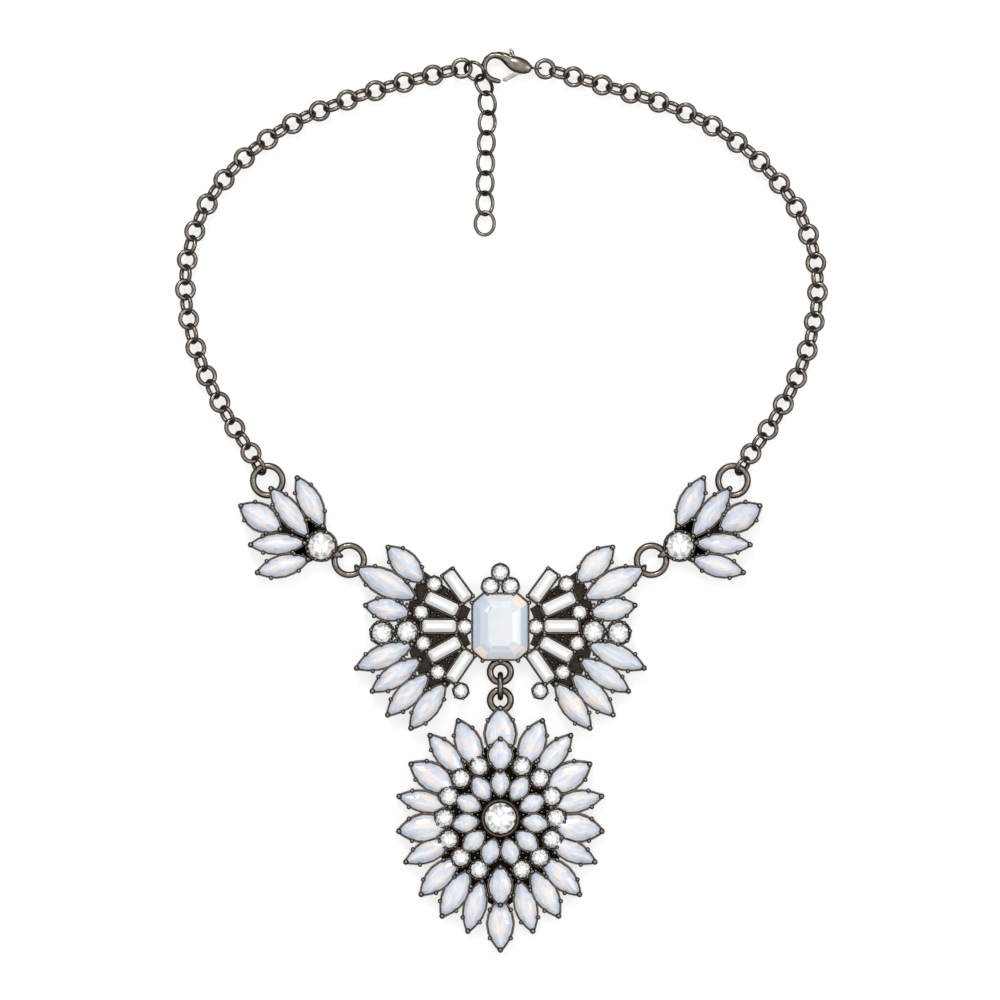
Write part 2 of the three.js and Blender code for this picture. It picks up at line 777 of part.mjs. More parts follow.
// Links stand and lie by turns, the standing ones leaning inwards.
function neckChain(points, side) {
  const ring = mirrored(chainRingCentre, -side);
  const route = [[ring.x, ring.y], ...points];
  const flat = route.map(([x, y]) => new THREE.Vector3(x, y, 0));
  const length = new THREE.CatmullRomCurve3(flat, false, "centripetal").getLength();
  const count = Math.round((length - firstLink) / linkPitch) + 1;
  const roll = (i) => side * (i === count - 1 ? lastRoll : neckRolls[i % 2]);
  return chainSolid(route, firstLink, count, linkWidth, linkWire, roll);
}

const chainRight = neckChain(routeRight, -1);
const chainLeft = neckChain(routeLeft, 1);

// The last link lies nearly flat.
function extenderRoll(i) {
  const roll = i === extenderCount - 1 ? 10 : 36;
  return i % 2 === 0 ? -roll : roll;
}

const extender = chainSolid(routeExtender, 0, extenderCount, extenderLinkWidth, extenderWire, extenderRoll);

function endRing() {
  const mesh = namedMesh("end_ring", wireLoop(endRingOuter, endRingOuter, endRingWire), gunmetal);
  const { x, y, z } = endRingPlace;
  mesh.position.copy(chainLeft.end).add(new THREE.Vector3(x, y, z));
  const tilt = THREE.MathUtils.degToRad(endRingTilt);
  mesh.rotation.set(tilt, 0, THREE.MathUtils.degToRad(endRingTurn), "ZYX");
  return mesh;
}

// Clasp, drawn from the middle of its eye, which holds the right chain's last link

const claspEye = chainRight.end.clone().addScaledVector(chainRight.along, (chainRight.length - linkWire) / 2);
claspEye.y -= claspDrop;

// The body's sections follow the hook's centre line, each a hexagon across it.
function claspHook() {
  const middles = claspStations.map((s) => new THREE.Vector2(s.x, s.y).multiplyScalar(claspLength));
  const positions = [];
  const sides = 6;
  claspStations.forEach((station, i) => {
    const before = middles[Math.max(0, i - 1)];
    const after = middles[Math.min(middles.length - 1, i + 1)];
    const along = after.clone().sub(before).normalize();
    for (let k = 0; k < sides; k += 1) {
      const angle = (2 * Math.PI * k) / sides;
      const across = (station.across * claspDepth * Math.cos(angle)) / 2;
      const z = (station.deep * claspDepth * Math.sin(angle)) / 2;
      positions.push(middles[i].x - along.y * across, middles[i].y + along.x * across, z);
    }
  });
  const index = [];
  for (let i = 0; i < middles.length - 1; i += 1) {
    for (let k = 0; k < sides; k += 1) {
      const a = i * sides + k;
      const b = i * sides + ((k + 1) % sides);
      index.push(a, b, b + sides, a, b + sides, a + sides);
    }
  }
  const last = (middles.length - 1) * sides;
  for (let k = 1; k < sides - 1; k += 1) {
    index.push(0, k + 1, k, last, last + k, last + k + 1);
  }
  const geometry = new THREE.BufferGeometry();
  geometry.setAttribute("position", new THREE.Float32BufferAttribute(positions, 3));
  geometry.setIndex(index);
  return solidOf(geometry);
}

function claspEyeLoop() {
  const loop = wireLoop(claspEyeOuter, claspEyeOuter, claspEyeWire);
  loop.rotateX(Math.PI / 2);
  return solidOf(loop);
}

// A flat arm that sweeps from one bearing round to another, with its root at the pivot.
function sweptArm(reach, from, to, width, thickness) {
  const half = width / 2;
  const outline = [
    polar(half, from - 90),
    polar(reach, from).add(polar(half, from - 90)),
    polar(reach + half, (from + to) / 2),
    polar(reach, to).add(polar(half, to + 90)),
    polar(half, to + 90),
  ];
  return solidOf(loft([{ outline, z: -thickness / 2 }, { outline, z: thickness / 2 }]));
}

function disc(radius, thickness) {
  const outline = roundOutline(2 * radius);
  return solidOf(loft([{ outline, z: -thickness / 2 }, { outline, z: thickness / 2 }]));
}

// The lever, or with a margin and its travel the slot it swings in. One arm closes the hook, the other ends
// in the thumb nub.
function leverSolid(margin, travel) {
  const thickness = leverThickness + 2 * margin;
  const arm = { reach: leverArm.reach * claspLength, width: leverWidth + 2 * margin };
  const thumb = { reach: thumbArm.reach * claspLength, width: 0.7 * leverWidth + 2 * margin };
  return joined([
    disc(2 * pinRadius + play + margin, thickness),
    sweptArm(arm.reach, leverArm.turn - travel, leverArm.turn, arm.width, thickness),
    sweptArm(thumb.reach, thumbArm.turn - travel, thumbArm.turn, thumb.width, thickness),
  ]);
}

function clasp() {
  const group = new THREE.Group();
  const pivot = new THREE.Vector2(leverPivot.x, leverPivot.y).multiplyScalar(claspLength);
  const slot = leverSolid(play, leverTravel).translate([pivot.x, pivot.y, 0]);
  const pin = disc(pinRadius, claspDepth / 2).translate([pivot.x, pivot.y, 0]);
  const body = joined([claspHook().subtract(slot), claspEyeLoop(), pin]);
  group.add(namedMesh("clasp_body", geometryOf(body), gunmetal));
  const hole = disc(pinRadius + play, 2 * leverThickness);
  const lever = namedMesh("clasp_lever", geometryOf(leverSolid(0, 0).subtract(hole)), gunmetal);
  lever.position.set(pivot.x, pivot.y, 0);
  group.add(lever);
  group.position.copy(claspEye);
  return group;
}

// The whole necklace, moved so that its origin is the middle of its footprint, on the surface

function necklace() {
  const whole = new THREE.Group();
  whole.add(bib(), cluster(1), cluster(-1), dropLink(), pendant());
  whole.add(jumpRing("ring_chain_right", chainRingCentre), jumpRing("ring_wing_right", wingRingCentre));
  whole.add(jumpRing("ring_chain_left", mirrored(chainRingCentre, -1)));
  whole.add(jumpRing("ring_wing_left", mirrored(wingRingCentre, -1)));
  whole.add(namedMesh("chain_right", geometryOf(chainRight.solid), gunmetal));
  whole.add(namedMesh("chain_left", geometryOf(chainLeft.solid), gunmetal));
  whole.add(namedMesh("extender_chain", geometryOf(extender.solid), gunmetal));
  whole.add(endRing(), clasp());
  const box = new THREE.Box3().setFromObject(whole, true);
  const middle = box.getCenter(new THREE.Vector3());
  whole.position.set(-middle.x, -middle.y, 0);
  return whole;
}

export default necklace();
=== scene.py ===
import json
import math
from types import SimpleNamespace

import bpy
from mathutils import Matrix, Vector


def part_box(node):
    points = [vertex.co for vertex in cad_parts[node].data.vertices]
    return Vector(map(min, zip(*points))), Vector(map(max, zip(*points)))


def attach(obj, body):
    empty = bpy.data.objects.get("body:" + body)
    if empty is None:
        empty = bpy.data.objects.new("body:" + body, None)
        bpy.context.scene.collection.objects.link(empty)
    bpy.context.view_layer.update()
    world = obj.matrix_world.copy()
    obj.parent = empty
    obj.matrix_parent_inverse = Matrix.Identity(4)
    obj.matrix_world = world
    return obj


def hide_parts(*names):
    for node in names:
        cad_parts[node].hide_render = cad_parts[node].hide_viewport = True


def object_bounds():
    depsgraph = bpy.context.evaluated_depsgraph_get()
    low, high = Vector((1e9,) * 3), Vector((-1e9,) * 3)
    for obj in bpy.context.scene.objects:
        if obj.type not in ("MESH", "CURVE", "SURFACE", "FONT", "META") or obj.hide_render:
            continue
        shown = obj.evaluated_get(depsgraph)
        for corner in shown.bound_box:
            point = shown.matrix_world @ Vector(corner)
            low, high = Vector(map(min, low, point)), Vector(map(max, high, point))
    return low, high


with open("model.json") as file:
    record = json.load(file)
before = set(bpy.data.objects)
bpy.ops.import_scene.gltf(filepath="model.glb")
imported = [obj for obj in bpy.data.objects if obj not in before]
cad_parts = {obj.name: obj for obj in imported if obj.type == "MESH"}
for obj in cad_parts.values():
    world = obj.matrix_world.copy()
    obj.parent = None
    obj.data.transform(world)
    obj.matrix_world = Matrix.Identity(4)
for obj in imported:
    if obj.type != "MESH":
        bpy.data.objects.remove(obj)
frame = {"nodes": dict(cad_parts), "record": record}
cad_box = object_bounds()

bl_info = {
    "name": "Bib necklace",
    "version": (1, 0, 0),
    "blender": (4, 5, 0),
    "location": "View3D > Sidebar > Necklace",
    "description": "Dresses a bib necklace: antique metal, milky and clear stones, chains and clasp",
    "category": "Object",
}

MM = 0.001

# Lengths are in millimetres, and places are measured from the octagon's middle. Bearings are in degrees,
# from +X on the wings and clockwise from +Y on the pendant.

# The chains' routes. A neck chain lies level, and the adjusting chain's points have their own heights.
CHAIN_RIGHT = [
    (68.9, 47.7), (73.4, 54), (81.2, 67.9), (86, 82.8), (86.8, 98.5),
    (82.1, 113.4), (72.8, 126), (59.8, 136.5), (44.4, 143.6), (28.2, 148.6), (12.3, 153.1),
]
CHAIN_LEFT = [
    (-68.6, 47.9), (-73, 54.7), (-80.6, 68.7), (-85.4, 83.4), (-86.2, 99),
    (-81.7, 113.7), (-72.3, 126.7), (-59.1, 136.9), (-43.5, 144), (-27.1, 149.2), (-10.6, 153.3),
]
EXTENDER = [
    (-4.5, 148.7, 2.7), (-4.2, 146.3, 4), (-3.6, 143.6, 3.7), (-3.6, 139.3, 2.3), (-3.8, 133.8, 2.05),
    (-4.1, 125, 2.05), (-4.3, 110.7, 2.05),
]
NECK_HEIGHT = 2.65
EXTENDER_LINKS = 8
ROUTE_STEPS = 48
# How much longer than its step a link is.
NECK_LINK_LAP = 2.06
EXTENDER_LINK_LAP = 1.76
# How far the links roll about the route in degrees, by turns, and the last link of each chain.
NECK_ROLLS = (-58, 15)
NECK_LAST_ROLL = -5
EXTENDER_ROLL = 36
EXTENDER_LAST_ROLL = 10
# From a jump ring's wire to the middle of the wire of the link on it.
RING_PLAY = 1.4
END_RING_TURN = -37
END_RING_TILT = 47

# The clasp, from the middle of its eye: the hook's stations with their radii, the body's cheeks, the pivot.
CLASP_HOOK = [
    (-7.7, 2.25, 1.3), (-9.0, 3.0, 1.18), (-10.6, 3.55, 1.02), (-12.2, 3.5, 0.92), (-13.6, 2.6, 0.87),
    (-14.4, 0.9, 0.85), (-14.4, -0.9, 0.84), (-13.5, -2.4, 0.82), (-11.9, -3.3, 0.8), (-10.4, -3.6, 0.76),
    (-9.85, -3.66, 0.55),
]
CHEEK_LENGTH = 8.6
CHEEK_WIDTH = 4.8
CHEEK_MIDDLE = (-4.95, 0.85)
CHEEK_TURN = 160
CLASP_DEPTH = 3.2
SLOT_HALF = 0.72
LEVER_PIVOT = (-4.318, -0.68)
# The lever's thumb nub: a short arm that ends in a ball.
THUMB_ARM = [(-5.9, 2.5, 0.5), (-6.4, 3.55, 0.52), (-6.75, 4.3, 0.6)]
THUMB_BALL = 0.66
# The castings: node, body, the grain of the new surface and how often it is smoothed.
CASTINGS = [("clasp_body", "necklace", 0.16, 4), ("clasp_lever", "lever", 0.12, 3)]

# Length and width of the templates, which are stretched to each stone.
NAVETTE = (15, 7)
ROUND = (5, 5)
BAGUETTE = (9.6, 3.5)
OCTAGON = (15, 17.8)
# A cup's template is this high with this bevel, and its rim stands this much below the setting's rim.
CUP_HEIGHT = 4.0
CUP_EDGE = 0.17
CUP_SINK = 0.15
# A stone's size as a share of its node's, so that metal shows round it.
STONE_FIT = 0.945
# The tone of a step-cut stone's table.
TABLE_TONE = 0.6

# Prongs: the ball over the seat, a side prong's place along the half length and outwards as shares, how
# far a tip prong stands inside the tip, and how far a round stone's prong stands outside it.
PRONG_LIFT = 0.45
ROUND_PRONG_LIFT = 0.4
TIP_PRONG_DROP = 0.1
SIDE_PRONG_SHARE = 0.52
PRONG_REACH = 0.1
TIP_PRONG_INSET = 0.4
ROUND_PRONG_REACH = 0.18
BAGUETTE_PRONG_SHARES = (0.98, 1.04)
# Navettes shorter than this have small prongs.
TINY_NAVETTE = 9

# The bib: small and large rounds of one wing by bearing and distance, and the three rounds on top.
WING_NAVETTES = 7
WING_BAGUETTES = 5
WING_ROUNDS = [(32.8, 21.6), (10.3, 22.1), (-12.2, 21.6), (-36, 21.2), (-58.4, 20.7), (0, 9.75)]
WING_LARGE_ROUNDS = [(-3, 25.6), (-3, 32.5)]
TOP_ROUNDS = [(-2.75, 11.1), (2.75, 11.1), (0, 14.9)]
SMALL_ROUND = 3.95
LARGE_ROUND = 5.9
TOP_ROUND = 4.4
WING_SEAT = 4.5
OCTAGON_RIM = 5.2
OCTAGON_LIFT = 0.1
OCTAGON_PRONG_HEIGHT = 5.1
OCTAGON_PRONGS = [(7.9, 6.6), (7.9, -6.6), (-7.9, 6.6), (-7.9, -6.6), (4.9, -9.3), (-4.9, -9.3), (0, -9.4)]
# The plates behind one wing: inner and outer radius, the bearing where each starts and its sweep.
FAN_PLATES = [(13.8, 26, 36, 85), (9.4, 14, 31, 62)]
PLATE_LOW = 0.4
# Beads in the gaps between the baguettes, by distance and degrees aside, and between the navettes' inner
# tips, by bearing and distance.
GAP_BEARINGS = (33, 11.5, -10.5, -33)
GAP_BEADS = [(13.6, 0), (15.4, 2.4), (15.4, -2.4), (17.3, 1.6), (17.3, -1.6), (19.2, 0)]
TIP_BEADS = [(24.5, 25.6), (13.6, 26.4), (-6.5, 27.6), (-16.5, 26.8), (-27.5, 26.3), (-39.5, 26)]
GAP_BEAD_HEIGHT = 2.9
BEAD_HEIGHT = 3.6

# The side clusters: the crystal, and the beads round it by bearing.
CLUSTER_NAVETTES = 5
CRYSTAL = 7.5
CRYSTAL_SEAT = 4.6
CRYSTAL_RISE = 1.4
CLUSTER_BEADS = (20, 42, 75, -25)
CLUSTER_BEAD_DISTANCE = 5.6

# The pendant's petals: bearing, distance of the outer tip, width.
PETALS = [
    (0, 30.5, 8.4), (23.4, 29.4, 6.8), (40.5, 30.1, 5.8), (59, 29, 7.3), (78, 28.8, 5.6), (97.5, 28.5, 7.4),
    (115, 29, 5.6), (134, 30.6, 6.2), (149.3, 31.7, 6.3), (164, 32.7, 5.9), (180, 36.6, 7),
]
PETAL_LENGTH = 15
PETAL_SEAT = 3.5
TOP_PETAL_SEAT = 4.2
INNER_NAVETTES = 11
INNER_LENGTH = 7.9
INNER_WIDTH = 5
INNER_RADIUS = 9.65
INNER_SEAT = 4.5
# How high the pendant's navettes are cut, as a share of the template.
PENDANT_RISE = 0.8
ROUND_PLACES = 16
ROUNDS_RADIUS = 15.3
PENDANT_ROUND = 4.84
PENDANT_ROUND_SEAT = 4.3
BEZEL_OUTER = 9.74
BEZEL_WALL = 0.5
BEZEL_SEAT = 5.4
CENTRE_STONE = 8.45
CENTRE_SEAT = 5.35
CENTRE_RISE = 1.2
PENDANT_PLATE = 37.2
PENDANT_PLATE_DEPTH = 1.2
# Beads between the inner navettes, by distance and degrees aside, and between the rounds, by distance.
INNER_BEADS = [(6.3, 0), (7.6, 5), (7.6, -5), (11.4, 0), (13, 0)]
OUTER_BEADS = (14.4, 17.4)

# The flat bars behind the stones, and how far from a stone's middle they end, as a share of the way on.
BAR_WIDTH = 5.0
CLUSTER_BAR_SHARE = 0.2
PETAL_BAR_SHARE = 0.22
# The eyes round the jump rings' wires, and the half sizes of the swelling on top of each.
EYE_OUTER = 4.4
EYE_WIRE = 1.25
KNUCKLE = (1.75, 1.05, 0.62)
# The rings that are soldered on for the drop link, with the radius of the circle that their wire follows,
# and the link's wire with the play between the two.
LOOP_OUTER = 7.6
LOOP_WIRE = 1.95
LOOP_CIRCLE = 2.8
LOOP_HEIGHT = 3.3
DROP_WIRE = 1.65
DROP_PLAY = 0.3

# The camera, in its own millimetres, the width that it sees and the shift of its aim, in metres.
LENS = 200.0
SENSOR = 36.0
SPAN = 0.275
AIM_SHIFT = (-0.0004, 0.0001)


# Sizes and colours


def measure(name, description, millimetres):
    """A length that the panel shows in the scene's own unit."""
    limits = {"min": 0.01 * MM, "subtype": "DISTANCE", "precision": 5}
    return bpy.props.FloatProperty(name=name, description=description, default=millimetres * MM, **limits)


def colour(name, description, default):
    limits = {"subtype": "COLOR", "size": 3, "min": 0.0, "max": 1.0}
    return bpy.props.FloatVectorProperty(name=name, description=description, default=default, **limits)


class ChainSizes(bpy.types.PropertyGroup):
    link_width: measure("Link width", "Outer width of a neck chain link", 5.95)
    link_wire: measure("Link wire", "Wire of a neck chain link", 1.26)
    pitch: measure("Pitch", "Step from link to link of a neck chain", 4.06)
    extender_width: measure("Extender width", "Outer width of an adjusting chain link", 6.3)
    extender_wire: measure("Extender wire", "Wire of an adjusting chain link", 1.0)
    ring_outer: measure("Jump ring", "Outer diameter of a large jump ring", 9.9)
    ring_wire: measure("Jump ring wire", "Wire of a large jump ring", 1.8)
    end_ring_outer: measure("End ring", "Outer diameter of the ring that the clasp holds", 6.9)
    end_ring_wire: measure("End ring wire", "Wire of the ring that the clasp holds", 1.0)


class SettingSizes(bpy.types.PropertyGroup):
    wall: measure("Cup wall", "Wall of a stone's cup", 0.5)
    rim: measure("Rim", "Height of the rim above the seat", 0.5)
    side_prong: measure("Side prong", "Radius of the ball on a side prong", 0.68)
    tip_prong: measure("Tip prong", "Radius of the ball on a tip prong", 0.88)
    round_prong: measure("Round prong", "Radius of the ball on a round stone's prong", 0.46)
    bead: measure("Bead", "Radius of the beads in the hollows", 0.5)
    back_plate: measure("Back plate", "Thickness of the plates behind the fans", 0.8)


class Finishes(bpy.types.PropertyGroup):
    # Metal is worn metal with a painted highlight where it faces up; tarnish is tarnish in the hollows and
    # painted shade on the sides and lower parts.
    metal: colour("Metal", "Worn antique metal", (0.25, 0.214, 0.18))
    tarnish_and_shade: colour("Tarnish", "Dark metal in the hollows", (0.014, 0.010, 0.007))
    milk: colour("Milk", "Milky stone in the shade", (0.47, 0.55, 0.68))
    cloud: colour("Cloud", "Milky stone where it lights up", (0.85, 0.86, 0.885))
    step_shade: colour("Step shade", "Shaded facets of the step-cut milky stone", (0.50, 0.60, 0.72))
    step_light: colour("Step light", "Bright facets of the step-cut milky stone", (0.80, 0.80, 0.81))
    # The lever's brighter metal is a painted highlight.
    lever: colour("Lever", "Brighter metal of the clasp's lever", (0.5, 0.46, 0.42))
    glint: colour("Glint", "Warm glints in the milky stone", (0.97, 0.79, 0.67))
    crystal: colour("Crystal", "Clear stone", (0.97, 0.97, 0.965))
    facet_shade: colour("Facet shade", "Dark facets of the clear stone", (0.20, 0.195, 0.185))
    floor: colour("Floor", "Pale floor, partly lit from below", (0.36, 0.36, 0.36))


def in_millimetres(group):
    """The lengths of a property group, as plain numbers."""
    return SimpleNamespace(**{name: getattr(group, name) / MM for name in type(group).__annotations__})


def sizes():
    return in_millimetres(bpy.context.scene.necklace_chain)


def settings():
    return in_millimetres(bpy.context.scene.necklace_settings)


def finishes():
    return bpy.context.scene.necklace_finishes


# Plane geometry, in millimetres from the octagon's middle


def flat(at):
    return Vector((at.x, at.y, 0))


def node_middle(node):
    """A node's middle in the frame, in millimetres."""
    low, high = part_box(node)
    return (low + high) / (2 * MM)


def octagon_middle():
    return flat(node_middle("bib_octagon"))


def polar(radius, degrees):
    angle = math.radians(degrees)
    return Vector((radius * math.cos(angle), radius * math.sin(angle), 0))


def compass(radius, bearing):
    return polar(radius, 90 - bearing)


def heading(a, b):
    """The way from one point to another, in degrees from +X."""
    return math.degrees(math.atan2(b.y - a.y, b.x - a.x))


def place(at, turn=0, stretch=(1, 1, 1)):
    """A template's place, in millimetres and degrees, as a matrix."""
    turned = Matrix.Rotation(math.radians(turn), 4, "Z")
    return Matrix.Translation(at) @ turned @ Matrix.Diagonal((*stretch, 1))


def navette_outline(length, width, count=20):
    points = []
    for i in range(count):
        share = math.cos(2 * math.pi * i / count)
        side = 1 if i < count / 2 else -1
        points.append(Vector((share * length / 2, side * width * (1 - share * share) / 2, 0)))
    return points


def round_outline(diameter, count=20):
    return [polar(diameter / 2, 360 * i / count) for i in range(count)]


def rectangle_outline(length, width):
    corners = [(1, -1), (1, 1), (-1, 1), (-1, -1)]
    return [Vector((x * length / 2, y * width / 2, 0)) for x, y in corners]


def octagon_outline(width, height):
    cut_x, cut_y = 0.195 * width, 0.14 * height
    points = []
    for x, y in [(1, 1), (-1, 1), (-1, -1), (1, -1)]:
        side = Vector((x * width / 2, y * (height / 2 - cut_y), 0))
        end = Vector((x * (width / 2 - cut_x), y * height / 2, 0))
        points += [side, end] if x * y > 0 else [end, side]
    return points


# Modelling steps


def deselect():
    if bpy.context.object and bpy.context.object.mode != "OBJECT":
        bpy.ops.object.mode_set(mode="OBJECT")
    bpy.ops.object.select_all(action="DESELECT")


def only(piece):
    deselect()
    piece.select_set(True)
    bpy.context.view_layer.objects.active = piece


def edit_all():
    """Opens the active piece in edit mode, with all of it selected."""
    bpy.ops.object.mode_set(mode="EDIT")
    bpy.ops.mesh.select_all(action="SELECT")


def outline_face(points):
    """A flat face with the given outline, left in edit mode and selected."""
    deselect()
    bpy.ops.mesh.primitive_circle_add(vertices=len(points), radius=1, fill_type="NGON", location=(0, 0, 0))
    piece = bpy.context.object
    for vertex, point in zip(piece.data.vertices, points):
        vertex.co = point
    edit_all()
    return piece


def sphere(segments, rings, radius=1):
    deselect()
    bpy.ops.mesh.primitive_uv_sphere_add(segments=segments, ring_count=rings, radius=radius)
    return bpy.context.object


def raise_face(height, stretch=(1, 1)):
    """Extrudes the selected face upwards, and stretches its new end about the middle."""
    bpy.ops.mesh.extrude_region_move(TRANSFORM_OT_translate={"value": (0, 0, height)})
    if stretch != (1, 1):
        bpy.ops.transform.resize(value=(*stretch, 1), center_override=(0, 0, 0))


def close_piece(piece):
    """Merges doubles, turns the faces outwards and leaves edit mode."""
    only(piece)
    edit_all()
    bpy.ops.mesh.remove_doubles(threshold=1e-4)
    bpy.ops.mesh.normals_make_consistent(inside=False)
    bpy.ops.object.mode_set(mode="OBJECT")


def apply_modifier(piece, kind, **values):
    only(piece)
    modifier = piece.modifiers.new(kind.title(), kind)
    for key, value in values.items():
        setattr(modifier, key, value)
    bpy.ops.object.modifier_apply(modifier=modifier.name)


def soft_edges(piece, width):
    apply_modifier(piece, "BEVEL", width=width, segments=1, limit_method="ANGLE", angle_limit=0.6)


def smooth(piece, degrees=40):
    only(piece)
    bpy.ops.object.shade_smooth_by_angle(angle=math.radians(degrees))


def copy_at(template, matrix):
    piece = bpy.data.objects.new(template.name, template.data.copy())
    piece.data.transform(matrix)
    bpy.context.collection.objects.link(piece)
    return piece


def fused(name, copies):
    """Joins copies into one piece, and brings it from millimetres round the octagon to the frame."""
    deselect()
    for piece in copies:
        piece.select_set(True)
    bpy.context.view_layer.objects.active = copies[0]
    if len(copies) > 1:
        bpy.ops.object.join()
    piece = bpy.context.object
    piece.name = name
    piece.data.name = name
    middle = octagon_middle()
    piece.data.transform(Matrix.Diagonal((MM, MM, MM, 1)) @ Matrix.Translation(middle))
    piece.data.update()
    return piece


def drop_template(*templates):
    for template in templates:
        bpy.data.objects.remove(template)


def finished(piece, finish, body="necklace", nodes=()):
    """Gives a piece its material and body, in place of the nodes that it dresses."""
    piece.data.materials.clear()
    piece.data.materials.append(finish)
    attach(piece, body)
    if nodes:
        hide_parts(*nodes)


# Templates


def cup_template(name, points, inset):
    """A cup: a closed back, a wall and a seat below the rim."""
    piece = outline_face(points)
    raise_face(CUP_HEIGHT)
    bpy.ops.mesh.inset(thickness=inset, depth=0)
    raise_face(-settings().rim)
    close_piece(piece)
    soft_edges(piece, CUP_EDGE)
    smooth(piece)
    piece.name = name
    return piece


def scattered(seed):
    """A share that jumps about from seed to seed."""
    return (math.sin(seed * 12.9898) * 43758.5453) % 1.0


def gem_attribute(piece, crown, star):
    """Marks the facets: how far each corner is from the table, a tone, how much it faces a corner."""
    data = piece.data
    layer = data.attributes.new("cut", "FLOAT_COLOR", "CORNER")
    spread = data.attributes.new("spread", "FLOAT_VECTOR", "CORNER")
    for face in data.polygons:
        way = face.normal
        if star:
            tone = scattered(face.index)
        elif way.z > 0.99:
            tone = TABLE_TONE
        else:
            tone = scattered(7 * round(way.x, 1) + 13 * round(way.y, 1) + 29 * round(way.z, 1))
        tilt = way.x**2 + way.y**2
        corner = min(1.0, 2 * abs(way.x * way.y) / tilt) if tilt > 0.01 else 0.0
        for loop in face.loop_indices:
            at = data.vertices[data.loops[loop].vertex_index].co
            layer.data[loop].color = (1 - at.z / crown, tone, corner, 1)
            spread.data[loop].vector = (2 * at.x / piece.dimensions.x, 2 * at.y / piece.dimensions.y, 0)


def gem_template(name, points, girdle, steps, twist=0, star=True):
    """A cut stone on its girdle. Each step has its rise and its size, as shares of the outline's."""
    crown = sum(rise for rise, _, _ in steps) + girdle
    piece = outline_face(points)
    raise_face(girdle)
    reached = (1, 1)
    for rise, along, across in steps:
        raise_face(rise, (along / reached[0], across / reached[1]))
        if twist:
            bpy.ops.transform.rotate(value=math.radians(twist), orient_axis="Z", center_override=(0, 0, 0))
        reached = (along, across)
    if star:
        bpy.ops.mesh.poke()
    close_piece(piece)
    apply_modifier(piece, "TRIANGULATE")
    gem_attribute(piece, crown, star)
    piece.name = name
    return piece


def navette_gem():
    steps = [(0.75, 0.8, 0.72), (0.55, 0.55, 0.4), (0.2, 0.3, 0.16)]
    return gem_template("navette_gem", navette_outline(*NAVETTE, 16), 0.3, steps)


def round_gem():
    steps = [(0.65, 0.84, 0.84), (0.65, 0.52, 0.52)]
    return gem_template("round_gem", round_outline(ROUND[0], 16), 0.25, steps, twist=11.25)


def baguette_gem():
    steps = [(0.45, 0.93, 0.8), (0.4, 0.84, 0.52), (0.25, 0.78, 0.3)]
    return gem_template("baguette_gem", rectangle_outline(*BAGUETTE), 0.35, steps, star=False)


def octagon_gem():
    steps = [(0.7, 0.87, 0.89), (0.6, 0.74, 0.79), (0.5, 0.6, 0.69), (0.4, 0.45, 0.58)]
    return gem_template("octagon_gem", octagon_outline(*OCTAGON), 0.4, steps, star=False)


def wire_ring(name, length, width, wire, around=28, section=10):
    """A ring of round wire, drawn out from a small one to its length and width."""
    deselect()
    bpy.ops.mesh.primitive_torus_add(
        major_radius=wire * 2, minor_radius=wire / 2, major_segments=around, minor_segments=section
    )
    ring = bpy.context.object
    for vertex in ring.data.vertices:
        spoke = flat(vertex.co).normalized()
        vertex.co.x += spoke.x * ((length - wire) / 2 - wire * 2)
        vertex.co.y += spoke.y * ((width - wire) / 2 - wire * 2)
    smooth(ring, 180)
    ring.name = name
    return ring


def prong_template(name, radius, leg):
    """A ball on a short tapered leg, its middle at the origin."""
    ball = sphere(8, 5, radius)
    bpy.ops.object.mode_set(mode="EDIT")
    bpy.ops.mesh.select_all(action="DESELECT")
    bpy.ops.object.mode_set(mode="OBJECT")
    for face in ball.data.polygons:
        face.select = face.center.z < -0.7 * radius
    bpy.ops.object.mode_set(mode="EDIT")
    bpy.ops.mesh.select_mode(type="FACE")
    bpy.ops.mesh.extrude_region_move(TRANSFORM_OT_translate={"value": (0, 0, -leg)})
    bpy.ops.transform.resize(value=(1.5, 1.5, 1))
    close_piece(ball)
    smooth(ball, 60)
    ball.name = name
    return ball


# Where the stones lie


def farthest(points):
    """The longest distance between two of the points, and those two."""
    best = (0, None, None)
    for i, a in enumerate(points):
        for b in points[i + 1:]:
            reach = (a - b).length
            if reach > best[0]:
                best = (reach, a, b)
    return best


def flat_points(node):
    """The corners of a stone's flat underside in its node, and that side's height."""
    middle = octagon_middle()
    low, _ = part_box(node)
    vertices = frame["nodes"][node].data.vertices
    base = [v.co / MM - middle for v in vertices if v.co.z < low.z + 1e-4]
    unique = {(round(p.x, 3), round(p.y, 3)): flat(p) for p in base}
    return list(unique.values()), low.z / MM


class Lie:
    """A stone's middle, bearing, length, width and the height of its girdle, in millimetres."""

    def __init__(self, at, turn, length, width, seat):
        self.at = Vector((at[0], at[1], 0))
        self.turn = turn
        self.length = length
        self.width = width
        self.seat = seat

    def matrix(self, size, height=0.0, rise=1.0, fit=1.0):
        """Stretches a template of the given size to the stone, and takes it to its place at a height."""
        stretch = (fit * self.length / size[0], fit * self.width / size[1], rise)
        return place(self.at + Vector((0, 0, height)), self.turn, stretch)

    def point(self, along, across):
        """A point of the stone's outline box, as shares of half its length and width."""
        over = polar(across * self.width / 2, self.turn + 90)
        return self.at + polar(along * self.length / 2, self.turn) + over


def navette_lie(node):
    points, seat = flat_points(node)
    length, a, b = farthest(points)
    axis = (b - a).normalized()
    normal = Vector((-axis.y, axis.x, 0))
    width = 2 * max(abs((p - a).dot(normal)) for p in points)
    return Lie((a + b) / 2, heading(a, b), length, width, seat)


def baguette_lie(node):
    points, seat = flat_points(node)
    middle = sum(points, Vector()) / len(points)
    first = points[0]
    others = sorted(points[1:], key=lambda p: (p - first).length)
    width = (others[0] - first).length
    length = (others[1] - first).length
    return Lie(middle, heading(first, others[1]), length, width, seat)


def round_lie(node, diameter):
    low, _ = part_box(node)
    return Lie(node_middle(node) - octagon_middle(), 0, diameter, diameter, low.z / MM)


